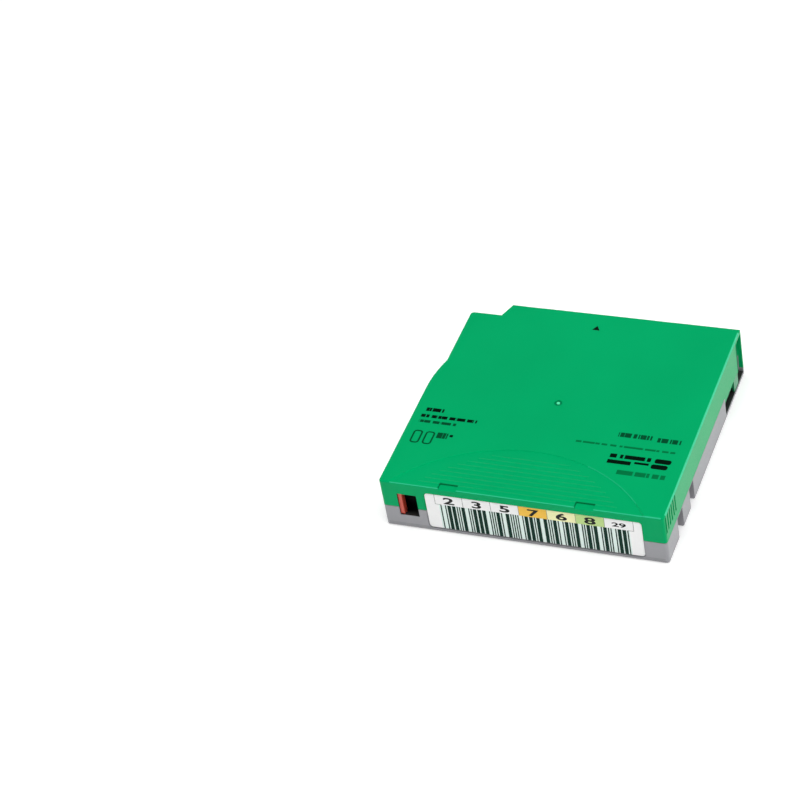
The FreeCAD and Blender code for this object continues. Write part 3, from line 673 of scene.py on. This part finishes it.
TOP_MARKS = (
    # A stretch of the thumb grip's rim, drawn pale as a painted highlight.
    TopMark(
        (-1.8, -84.3), (116.2, 116.2), MarkColour.PAINTED_HIGHLIGHT,
        outline_mm=0.35, corner_mm=58.0, reach_mm=(19.0, 41.0),
    ),
    # Left block: rows of dashes over two plain noughts.
    TopMark((-45.3, -11.6), (7.8, 1.9), word_mm=2.4),
    TopMark((-38.3, -15.1), (21.6, 1.6), word_mm=1.4),
    TopMark((-41.8, -18.0), (14.4, 1.4), MarkColour.DARK_GREEN, word_mm=1.6),
    TopMark((-47.0, -26.3), (3.6, 6.8), MarkColour.DARK_GREEN, outline_mm=0.65, corner_mm=1.3),
    TopMark((-42.3, -26.3), (3.6, 6.8), MarkColour.DARK_GREEN, outline_mm=0.65, corner_mm=1.3),
    TopMark((-37.6, -24.4), (4.2, 3.0), MarkColour.DARK_GREEN, word_mm=0.9),
    TopMark((-34.3, -24.0), (1.3, 1.3), corner_mm=0.4),
    # Right block: rows of dashes, with one bold row and two plain slabs.
    TopMark((31.2, -12.2), (12.4, 2.3), MarkColour.DARK_GREEN, word_mm=0.9),
    TopMark((43.7, -12.7), (8.8, 2.3), MarkColour.DARK_GREEN, word_mm=0.9),
    TopMark((29.2, -18.2), (36.6, 1.0), MarkColour.PALE_GREEN, word_mm=1.6),
    TopMark((32.5, -23.2), (15.2, 2.0), word_mm=1.7),
    TopMark((29.2, -26.2), (8.6, 1.9)),
    TopMark((37.3, -25.6), (5.2, 1.1)),
    TopMark((44.5, -23.3), (6.0, 2.3), corner_mm=0.9),
    TopMark((43.9, -26.2), (6.0, 2.3), corner_mm=0.9),
    TopMark((38.6, -31.1), (17.6, 2.2), MarkColour.PALE_GREEN, word_mm=1.6),
)


# Near-black painted shade for hollows that hardly any light reaches.
HOLLOW_SHADE = "#1A1C1B"
GATE_MM = (-1.4, 0.0)
RECESS_DARK = "#007F4C"
# Pale green of the painted highlight along the top's rounded edges.
EDGE_HIGHLIGHT = "#48CC9A"

# Painted shade: the write-protect pocket behind the slider, drawn near-black in both shells.
PROTECT_POCKET_SHADE = (
    PaintedLightPatch((-42.9, -50.1, 11.0), (7.6, 1.4, 10.4), HOLLOW_SHADE),
    PaintedLightPatch((-44.35, -46.5, 10.8), (14.0, 6.3, 18.3), HOLLOW_SHADE),
)
# Painted shade: the foot of the label face drawn darker grey towards the floor.
LABEL_FOOT_SHADE = PaintedLightPatch((0.0, -51.0, 0.9), (103.0, 1.0, 2.4), "#7C7C80")
# Painted shade: the floor of the door's slot and window drawn near-black.
DOOR_SLOT_FLOOR_SHADE = PaintedLightPatch((51.3, 38.0, 2.2), (3.0, 24.5, 1.3), HOLLOW_SHADE)
# Painted shade: the foot of the door panel behind the slot drawn near-black.
DOOR_SLOT_FOOT_SHADE = PaintedLightPatch((51.4, 35.0, 2.8), (1.2, 24.0, 2.2), "#012A1A")
TOP_PAINTED_LIGHT = (
    # Painted highlights along the right edge and the label edge, and painted shade along the far edge.
    PaintedLightPatch((52.45, 0.0, 21.25), (0.5, 98.0, 0.7), EDGE_HIGHLIGHT),
    PaintedLightPatch((1.5, -50.75, 21.3), (100.0, 0.4, 0.5), "#33C08D"),
    PaintedLightPatch((7.0, 50.9, 21.4), (90.0, 0.5, 0.6), "#008A58"),
    # Shaded walls of the two recesses at the label edge.
    PaintedLightPatch((-26.8, -48.1, 21.2), (7.0, 0.5, 1.0), RECESS_DARK),
    PaintedLightPatch((-30.2, -49.3, 21.2), (0.4, 2.6, 1.0), RECESS_DARK),
    PaintedLightPatch((23.8, -48.1, 21.2), (7.2, 0.5, 1.0), RECESS_DARK),
    PaintedLightPatch((20.3, -49.3, 21.2), (0.4, 2.6, 1.0), RECESS_DARK),
    # Moulding gate in the middle: a ring of painted shade round a painted highlight on the nub.
    PaintedLightPatch((GATE_MM[0], GATE_MM[1], 21.3), (2.8, 2.8, 3.0), "#008552", 1.4),
    PaintedLightPatch((GATE_MM[0], GATE_MM[1], 21.5), (1.3, 1.3, 1.4), "#5FF0B4", 0.65),
)


@dataclass
class CaseLooks:
    """The two shells, and the black arrow that is set into the top."""

    top: PrintedPlastic = PrintedPlastic(
        "green_abs",
        GREEN,
        roughness=0.42,
        ior=1.22,
        sheen_tint=GREEN,
        painted_light=(*PROTECT_POCKET_SHADE, *TOP_PAINTED_LIGHT),
        marks=TOP_MARKS,
    )
    bottom: MouldedPlastic = MouldedPlastic(
        "grey_abs",
        "#8B8B90",
        roughness=0.5,
        ior=1.7,
        painted_light=(*PROTECT_POCKET_SHADE, DOOR_SLOT_FLOOR_SHADE, LABEL_FOOT_SHADE),
    )
    arrow_ink: Ink = Ink("arrow_black", "#00120A")
    arrow_x: tuple[float, float] = (-1.4 * MM, 1.6 * MM)
    arrow_y: tuple[float, float] = (41.6 * MM, 44.1 * MM)
    mark_floor: float = 0.3 * MM
    arrow_lift: float = 0.26 * MM

    def build(self) -> None:
        """Dress the shells and add the arrow."""
        dress(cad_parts["top_shell"], self.top)
        dress(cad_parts["bottom_shell"], self.bottom)
        self.arrow()

    def arrow(self) -> None:
        """Fill the sunk arrow with black ink."""
        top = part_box("top_shell")[1].z
        middle = Vector(((self.arrow_x[0] + self.arrow_x[1]) / 2, 0, 0))
        low = Vector((self.arrow_x[0], self.arrow_y[0], top - self.mark_floor))
        high = Vector((self.arrow_x[1], self.arrow_y[1], top - self.mark_floor + self.arrow_lift))
        obj = block("arrow_ink", low, high)
        for vertex in obj.data.vertices:
            if vertex.co.y > (low.y + high.y) / 2:
                vertex.co.x = middle.x
        activate(obj)
        bpy.ops.object.mode_set(mode="EDIT")
        bpy.ops.mesh.select_all(action="SELECT")
        bpy.ops.mesh.remove_doubles(threshold=MERGE)
        bpy.ops.mesh.normals_make_consistent(inside=False)
        bpy.ops.object.mode_set(mode="OBJECT")
        dress(obj, self.arrow_ink)
        report(obj, "case")


# ------------------------------------------------------------------------- volume label
class CellColour(Enum):
    """Ground colours of the volume label's cells."""

    WHITE = "#FFFFFF"
    ORANGE = "#FFCB55"
    YELLOW = "#FFFDC4"
    GREEN = "#C9E597"


# Nine bars and spaces make a character, and a narrow space follows it.
CHARACTER_PARTS = 10
BAR_PATTERNS = {
    "*": "nwnnwnwnn",
    "2": "nnwwnnnnw",
    "3": "wnwwnnnnn",
    "5": "wnnwwnnnn",
    "6": "nnwwwnnnn",
    "7": "nnnwnnwnw",
    "8": "wnnwnnwnn",
    "9": "nnwwnnwnn",
}


@dataclass
class VolumeLabel:
    """Printed label in the case's recess: paper, coloured cells, plain digits and bars."""

    paper: CoatedPaper = CoatedPaper(
        "coated_label_paper", "#FFFFFF", "#E8F8F2", (-31.0, 39.6), (1.9, 13.4)
    )
    bar_ink: Ink = Ink("bar_ink", "#002B20", 0.6)
    digit_ink: Ink = Ink("digit_ink", "#1A1D1B")
    rule_ink: Ink = Ink("rule_ink", "#7E8381")
    cells_x: tuple[float, float] = (-32.2 * MM, 41.1 * MM)
    cells_z: tuple[float, float] = (13.4 * MM, 17.88 * MM)
    bars_x: tuple[float, float] = (-30.4 * MM, 39.1 * MM)
    bars_z: tuple[float, float] = (1.85 * MM, 13.4 * MM)
    corner: float = 1.2 * MM
    corner_segments: int = 8
    film: float = 0.015 * MM
    rule: float = 0.16 * MM
    wide_bar: float = 3.0
    digits: tuple[str, ...] = ("2", "3", "5", "7", "6", "8", "29")
    digit_size: float = 4.3 * MM
    small_digit: float = 0.62
    small_digit_lift: float = 0.3
    digit_foot: float = 0.65 * MM
    digit_width: float = 1.95
    digit_weight: float = 0.03
    grounds: tuple[CellColour, ...] = (
        CellColour.WHITE,
        CellColour.WHITE,
        CellColour.WHITE,
        CellColour.ORANGE,
        CellColour.YELLOW,
        CellColour.GREEN,
        CellColour.WHITE,
    )
    face_y: float = field(init=False)

    def build(self) -> None:
        """Make the paper and its print, layer on layer."""
        self.face_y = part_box("volume_label")[0].y
        self.sheet()
        self.cells()
        self.rules()
        self.bars()
        self.numbers()

    def layer(self, depth: int) -> float:
        """Return the Y of the face of a print layer, counted outwards from the paper."""
        return self.face_y - depth * self.film

    def sheet(self) -> None:
        """Make the paper with its rounded corners."""
        low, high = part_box("volume_label")
        obj = block("label_paper", low, high)
        bevel_edges(obj, lambda a, b: abs(a.y - b.y) > LEVEL, self.corner, self.corner_segments)
        smooth(obj)
        dress(obj, self.paper)
        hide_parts("volume_label")
        report(obj, "case")

    def cell_width(self) -> float:
        """Return the width of one cell."""
        return (self.cells_x[1] - self.cells_x[0]) / len(self.grounds)

    def cells(self) -> None:
        """Lay the coloured grounds side by side on the paper."""
        for index, ground in enumerate(self.grounds):
            left = self.cells_x[0] + index * self.cell_width()
            low = Vector((left, self.layer(1), self.cells_z[0]))
            high = Vector((left + self.cell_width(), self.face_y, self.cells_z[1]))
            obj = block(f"label_cell_{index + 1}", low, high)
            ink = Ink(f"cell_{ground.name.lower()}", ground.value, 0.55)
            dress(obj, ink)
            report(obj, "case")

    def rules(self) -> None:
        """Draw the thin grey rules between the cells and at their foot."""
        strokes = []
        for index in range(len(self.grounds) + 1):
            x = self.cells_x[0] + index * self.cell_width()
            low = Vector((x - self.rule / 2, self.layer(2), self.cells_z[0]))
            high = Vector((x + self.rule / 2, self.layer(0), self.cells_z[1]))
            strokes.append(block("rule", low, high))
        for start, stop in ((self.cells_x[0], self.bars_x[0]), (self.bars_x[1], self.cells_x[1])):
            low = Vector((start, self.layer(2), self.cells_z[0] - self.rule / 2))
            high = Vector((stop, self.layer(0), self.cells_z[0] + self.rule / 2))
            strokes.append(block("rule", low, high))
        obj = joined("label_rules", strokes)
        dress(obj, self.rule_ink)
        report(obj, "case")

    def bars(self) -> None:
        """Draw the bars that stand for the label's digits, narrow and wide."""
        text = "*" + "".join(self.digits) + "*"
        parts = "".join(BAR_PATTERNS[char] + "n" for char in text)
        widths = [self.wide_bar if part == "w" else 1.0 for part in parts]
        module = (self.bars_x[1] - self.bars_x[0]) / sum(widths[:-1])
        low = Vector((0, self.layer(3), self.bars_z[0]))
        high = Vector((1, self.layer(0), self.bars_z[1]))
        pattern = block("bar", low, high)
        strokes = []
        x = self.bars_x[0]
        for index, width in enumerate(widths[:-1]):
            is_space = index % CHARACTER_PARTS % 2 == 1
            if not is_space:
                place = Matrix.Translation((x, 0, 0)) @ Matrix.Diagonal((width * module, 1, 1, 1))
                strokes.append(copied(pattern, "bar", place))
            x += width * module
        bpy.data.objects.remove(pattern)
        obj = joined("label_bars", strokes)
        dress(obj, self.bar_ink)
        report(obj, "case")

    def numbers(self) -> None:
        """Set one plain number in each cell, upright on its foot."""
        figures = []
        for index, digit in enumerate(self.digits):
            centre = self.cells_x[0] + (index + 0.5) * self.cell_width()
            size = self.digit_size * (self.small_digit if len(digit) > 1 else 1.0)
            deselect()
            bpy.ops.object.text_add()
            text = bpy.context.object
            text.data.body = digit
            text.data.align_x = "CENTER"
            # A round bevel thickens the strokes outwards without closing their counters.
            text.data.bevel_depth = self.digit_weight
            activate(text)
            bpy.ops.object.convert(target="MESH")
            lift = self.digit_foot + (self.digit_size - size) * self.small_digit_lift
            text.location = (centre, self.layer(2), self.cells_z[0] + lift)
            text.rotation_euler = (math.radians(90), 0, 0)
            text.scale = (size * self.digit_width, size, self.film)
            settle(text)
            figures.append(text)
        obj = joined("label_digits", figures)
        dress(obj, self.digit_ink)
        report(obj, "case")


# ------------------------------------------------------------------------- reel and brake
@dataclass(frozen=True)
class CoilForm:
    """Sizes of a coil spring with closed ends, on an axis that starts at a foot."""

    radius: float
    wire: float
    turns: float
    closed_turns: float = 1.0
    steps: int = 28
    sides: int = 10

    def path(self, length: float) -> list[Vector]:
        """Work out the wire's middle line on +Z.

        Args:
            length: Length of the coil over its ends.

        Returns:
            Points along the wire, from the foot up.
        """
        total = self.turns + 2 * self.closed_turns
        count = int(total * self.steps)
        closed_rise = self.wire * self.closed_turns
        open_rise = length - self.wire - 2 * closed_rise
        points = []
        for index in range(count + 1):
            turn = index * total / count
            low = min(turn, self.closed_turns) * self.wire
            middle = min(max(turn - self.closed_turns, 0), self.turns) * open_rise / self.turns
            high = max(turn - self.closed_turns - self.turns, 0) * self.wire
            angle = 2 * math.pi * turn
            x, y = self.radius * math.cos(angle), self.radius * math.sin(angle)
            points.append(Vector((x, y, self.wire / 2 + low + middle + high)))
        return points


def coil_spring(name: str, form: CoilForm, length: float, place: Matrix) -> bpy.types.Object:
    """Wind a round-wire spring.

    Args:
        name: Name of the piece.
        form: Radius, wire and turns.
        length: Length over the ends.
        place: Matrix that takes +Z at the origin to the spring's axis.

    Returns:
        The spring as a mesh with its place in it.
    """
    curve = bpy.data.curves.new(name, "CURVE")
    curve.dimensions = "3D"
    curve.bevel_depth = form.wire / 2
    curve.bevel_resolution = form.sides // 4
    curve.use_fill_caps = True
    points = form.path(length)
    spline = curve.splines.new("POLY")
    spline.points.add(len(points) - 1)
    for target, point in zip(spline.points, points):
        target.co = (*point, 1.0)
    obj = bpy.data.objects.new(name, curve)
    bpy.context.scene.collection.objects.link(obj)
    activate(obj)
    bpy.ops.object.convert(target="MESH")
    obj.data.transform(place)
    smooth(obj, degrees=60.0)
    return obj


SPRING_STEEL = Metal("drawn_spring_steel", "#A8A9AC", 0.32, Lay.DRAWN)


@dataclass
class ReelLooks:
    """The reel with its tape, and the brake that locks it."""

    hub: MouldedPlastic = MouldedPlastic("glass_filled_nylon", "#DCDCD8", 0.5, subsurface=0.05)
    flange: MouldedPlastic = MouldedPlastic("milky_polycarbonate", "#CDD2D2", 0.3, subsurface=0.1)
    plate: Metal = Metal("stamped_steel", "#B4B5B8", 0.3, Lay.STAMPED)
    brake: MouldedPlastic = MouldedPlastic("acetal_white", "#E8E8E3", 0.38, subsurface=0.1)
    pad: MouldedPlastic = MouldedPlastic("acetal_black", "#2A2A2C", 0.38)
    spring: CoilForm = CoilForm(7.1 * MM, 0.9 * MM, 3.0)
    spring_travel: float = 1.8 * MM

    def build(self) -> None:
        """Dress the reel's nodes and wind the brake's spring."""
        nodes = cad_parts
        dress(nodes["reel_hub"], self.hub)
        dress(nodes["upper_flange"], self.flange)
        dress(nodes["reel_plate"], self.plate)
        dress(nodes["tape_pack"], WoundFilm())
        dress(nodes["tape_run"], WoundFilm())
        dress(nodes["brake_button"], self.brake)
        dress(nodes["release_pad"], self.pad)
        self.brake_coil()

    def brake_coil(self) -> None:
        """Wind the spring between the ceiling and the brake button."""
        low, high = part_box("brake_spring")
        axis = (low + high) / 2
        length = high.z - low.z
        place = Matrix.Translation((axis.x, axis.y, low.z))
        obj = coil_spring("brake_coil", self.spring, length, place)
        dress(obj, SPRING_STEEL)
        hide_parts("brake_spring")
        report(obj, "case")
        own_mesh(obj)


# ------------------------------------------------------------------------- door and leader pin
@dataclass
class DoorLooks:
    """The sliding door, its spring, and the leader pin behind it."""

    # The door's green is drawn darker than the shells' green as painted shade on the recessed door, and
    # its foot in the slot is near-black painted shade.
    panel: MouldedPlastic = MouldedPlastic(
        "green_door_abs", "#0A8856", 0.45, painted_light=(DOOR_SLOT_FOOT_SHADE,)
    )
    pin: Metal = Metal("polished_pin_steel", "#C4C5C8", 0.15, Lay.TURNED)
    clip: MouldedPlastic = MouldedPlastic("clip_nylon_black", "#232325", 0.4)
    spring: CoilForm = CoilForm(1.05 * MM, 0.5 * MM, 11.0, steps=20)
    travel: float = 11.0 * MM

    def build(self) -> None:
        """Dress the door's nodes and wind its spring."""
        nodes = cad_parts
        dress(nodes["door"], self.panel)
        dress(nodes["leader_pin"], self.pin)
        dress(nodes["leader_clip"], self.clip)
        dress(nodes["leader_pin_spring"], SPRING_STEEL)
        self.door_coil()

    def door_coil(self) -> None:
        """Wind the spring that pushes the door shut."""
        low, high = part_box("door_spring")
        axis = (low + high) / 2
        length = high.y - low.y
        turn = Matrix.Rotation(math.radians(-90), 4, "X")
        obj = coil_spring(
            "door_coil", self.spring, length, Matrix.Translation((axis.x, low.y, axis.z)) @ turn
        )
        dress(obj, SPRING_STEEL)
        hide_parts("door_spring")
        report(obj, "case")
        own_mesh(obj)


# ------------------------------------------------------------------------- small parts
@dataclass
class SmallParts:
    """The write-protect slider, the memory tag and the case's screws."""

    slider: MouldedPlastic = MouldedPlastic("red_acetal", "#C74530", 0.4, grain_height_mm=0.005)
    chip: MouldedPlastic = MouldedPlastic("potting_resin", "#121314", 0.2)
    zinc: Metal = Metal("zinc_plated_steel", "#9C9DA2", 0.35, Lay.STAMPED)
    screw_places_mm: tuple[tuple[float, float], ...] = (
        (-43.5, 39.6), (38.5, 41.3), (-46.0, -40.0), (46.4, -35.6)
    )
    head_radius: float = 2.0 * MM
    head_height: float = 1.6 * MM
    head_edge: float = 0.3 * MM
    shank_radius: float = 0.9 * MM
    shank_tip: float = 0.35 * MM
    cross_width: float = 0.55 * MM
    cross_depth: float = 0.8 * MM
    cross_reach: float = 1.2 * MM
    facets: int = 40
    edge_segments: int = 4

    def build(self) -> None:
        """Dress the small nodes and model the screws."""
        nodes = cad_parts
        dress(nodes["write_protect_slider"], self.slider)
        dress(nodes["memory_board"], CircuitBoard())
        dress(nodes["memory_chip"], self.chip)
        self.screws()

    def turned(
        self, name: str, radius: float, low: float, high: float, edge: float
    ) -> bpy.types.Object:
        """Turn a round bar on the Z axis with one end rounded off.

        Args:
            name: Name of the bar.
            radius: Radius in metres.
            low: Height of its foot.
            high: Height of its top.
            edge: Rounding, at the foot if it is positive and at the top if it is negative.

        Returns:
            The bar, with its place in its mesh.
        """
        deselect()
        bpy.ops.mesh.primitive_cylinder_add(
            vertices=self.facets,
            radius=radius,
            depth=high - low,
            location=(0, 0, (low + high) / 2),
        )
        bar = bpy.context.object
        bar.name = name
        settle(bar)
        end = low if edge > 0 else high

        def at_end(first: Vector, second: Vector) -> bool:
            """Say whether an edge lies on the end that is rounded."""
            return max(abs(first.z - end), abs(second.z - end)) < LEVEL

        bevel_edges(bar, at_end, abs(edge), self.edge_segments)
        return bar

    def screws(self) -> None:
        """Model one cross-recessed screw and put a copy in each of its places."""
        low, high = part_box("shell_screws")
        head_top = low.z + self.head_height
        head = self.turned("head", self.head_radius, low.z, head_top, self.head_edge)
        arms = []
        long, short = self.cross_reach, self.cross_width / 2
        for half_x, half_y in ((long, short), (short, long)):
            foot = Vector((-half_x, -half_y, low.z - self.cross_depth))
            arms.append(block("arm", foot, Vector((half_x, half_y, low.z + self.cross_depth))))
        for arm in arms:
            activate(head)
            bpy.ops.object.modifier_add(type="BOOLEAN")
            cut = head.modifiers[-1]
            cut.operation = "DIFFERENCE"
            cut.object = arm
            bpy.ops.object.modifier_apply(modifier=cut.name)
            bpy.data.objects.remove(arm)
        shank = self.turned("shank", self.shank_radius, head_top, high.z, -self.shank_tip)
        screw = joined("screw", (head, shank))
        smooth(screw)
        places = [Matrix.Translation((x * MM, y * MM, 0)) for x, y in self.screw_places_mm]
        copies = [copied(screw, "screw", place) for place in places]
        bpy.data.objects.remove(screw)
        obj = joined("cross_recess_screws", copies)
        dress(obj, self.zinc)
        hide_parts("shell_screws")
        report(obj, "case")


# ------------------------------------------------------------------------- studio
@dataclass
class Studio:
    """Pale floor, soft lamps, even surroundings and the camera."""

    azimuth: float = 27.532
    elevation: float = 40.242
    roll: float = -11.489
    lens: float = 122.445
    sensor: float = 36.0
    nearest: float = 0.01
    place: tuple[float, float, float] = (0.29184, -0.68313, 0.66523)
    floor_size: float = 6.0
    floor_colour: str = "#F4F4F4"
    floor_lift: float = 0.3
    floor_gloss: float = 0.85
    horizon: float = 1.12
    ceiling: float = 0.04
    horizon_top: float = 0.12
    ceiling_foot: float = 0.4

    def build(self) -> None:
        """Set the floor, the lamps, the world and the camera."""
        self.floor()
        self.lamp("key_lamp", (0.05, -0.14, 1.2), size=1.2, power=15.7)
        self.lamp("fill_lamp", (1.0, -0.1, 0.5), size=0.9, power=3.0)
        self.world()
        self.camera()
        bpy.context.scene.view_settings.view_transform = "Standard"

    def lift(self, tree: bpy.types.NodeTree) -> bpy.types.NodeSocket:
        """Return the floor's glow as the camera sees it, and in glossy and clear surfaces."""
        path = add_node(tree, "ShaderNodeLightPath")
        some = {0: path.outputs["Is Glossy Ray"], 1: path.outputs["Is Transmission Ray"]}
        mirrored = add_node(tree, "ShaderNodeMath", some, operation="MAXIMUM").outputs[0]
        values = {0: path.outputs["Is Camera Ray"], 1: self.floor_lift}
        direct = add_node(tree, "ShaderNodeMath", values, operation="MULTIPLY").outputs[0]
        values = {0: mirrored, 1: self.floor_gloss, 2: direct}
        return add_node(tree, "ShaderNodeMath", values, operation="MULTIPLY_ADD").outputs[0]

    def floor(self) -> None:
        """Lay the plain pale floor that the cartridge stands on."""
        deselect()
        bpy.ops.mesh.primitive_plane_add(size=self.floor_size, location=(0, 0, 0))
        obj = bpy.context.object
        obj.name = "floor"
        material = bpy.data.materials.new("pale_floor")
        material.use_nodes = True
        tree = material.node_tree
        tree.nodes.clear()
        board = add_node(tree, "ShaderNodeBsdfDiffuse", {"Color": linear(self.floor_colour)})
        glow = add_node(tree, "ShaderNodeEmission", {"Strength": self.lift(tree)})
        both = add_node(tree, "ShaderNodeAddShader", {0: board.outputs[0], 1: glow.outputs[0]})
        add_node(tree, "ShaderNodeOutputMaterial", {"Surface": both.outputs[0]})
        obj.data.materials.append(material)

    def lamp(self, name: str, place: tuple[float, float, float], size: float, power: float) -> None:
        """Hang a soft square lamp that faces the cartridge.

        Args:
            name: Name of the lamp.
            place: Where it hangs, in metres.
            size: Side of the square in metres.
            power: Power in watts.
        """
        deselect()
        bpy.ops.object.light_add(type="AREA", location=place)
        obj = bpy.context.object
        obj.name = name
        obj.data.energy = power
        obj.data.size = size
        obj.rotation_euler = Vector(place).to_track_quat("Z", "Y").to_euler()

    def world(self) -> None:
        """Surround everything with even soft light."""
        world = bpy.data.worlds.new("soft_surroundings")
        world.use_nodes = True
        tree = world.node_tree
        tree.nodes.clear()
        direction = add_node(tree, "ShaderNodeTexCoord").outputs["Generated"]
        height = add_node(tree, "ShaderNodeSeparateXYZ", {0: direction}).outputs[2]
        values = {
            "Value": height,
            "From Min": self.horizon_top,
            "From Max": self.ceiling_foot,
            "To Min": self.horizon,
            "To Max": self.ceiling,
        }
        strength = add_node(tree, "ShaderNodeMapRange", values).outputs["Result"]
        values = {"Color": (1, 1, 1, 1), "Strength": strength}
        light = add_node(tree, "ShaderNodeBackground", values)
        add_node(tree, "ShaderNodeOutputWorld", {"Surface": light.outputs[0]})
        bpy.context.scene.world = world

    def camera(self) -> None:
        """Set the camera at its place and turn."""
        turn, tip, roll = (math.radians(a) for a in (self.azimuth, self.elevation, self.roll))
        right = Vector((math.cos(turn), math.sin(turn), 0))
        back = Vector((math.sin(turn) * math.cos(tip), -math.cos(turn) * math.cos(tip), math.sin(tip)))
        up = back.cross(right)
        across = math.cos(roll) * right + math.sin(roll) * up
        upright = -math.sin(roll) * right + math.cos(roll) * up
        matrix = Matrix((across, upright, back)).transposed().to_4x4()
        matrix.translation = Vector(self.place)
        data = bpy.data.cameras.new("camera")
        data.lens = self.lens
        data.sensor_width = self.sensor
        data.clip_start = self.nearest
        obj = bpy.data.objects.new("camera", data)
        obj.matrix_world = matrix
        bpy.context.scene.collection.objects.link(obj)
        bpy.context.scene.camera = obj


def main() -> None:
    """Build the studio and dress the cartridge, sub-assembly by sub-assembly."""
    logging.basicConfig(level=logging.INFO, format="%(name)s %(message)s")
    for part in (Studio(), CaseLooks(), VolumeLabel(), ReelLooks(), DoorLooks(), SmallParts()):
        part.build()
        LOG.info("%s is built", type(part).__name__)


if __name__ == "__main__":
    main()
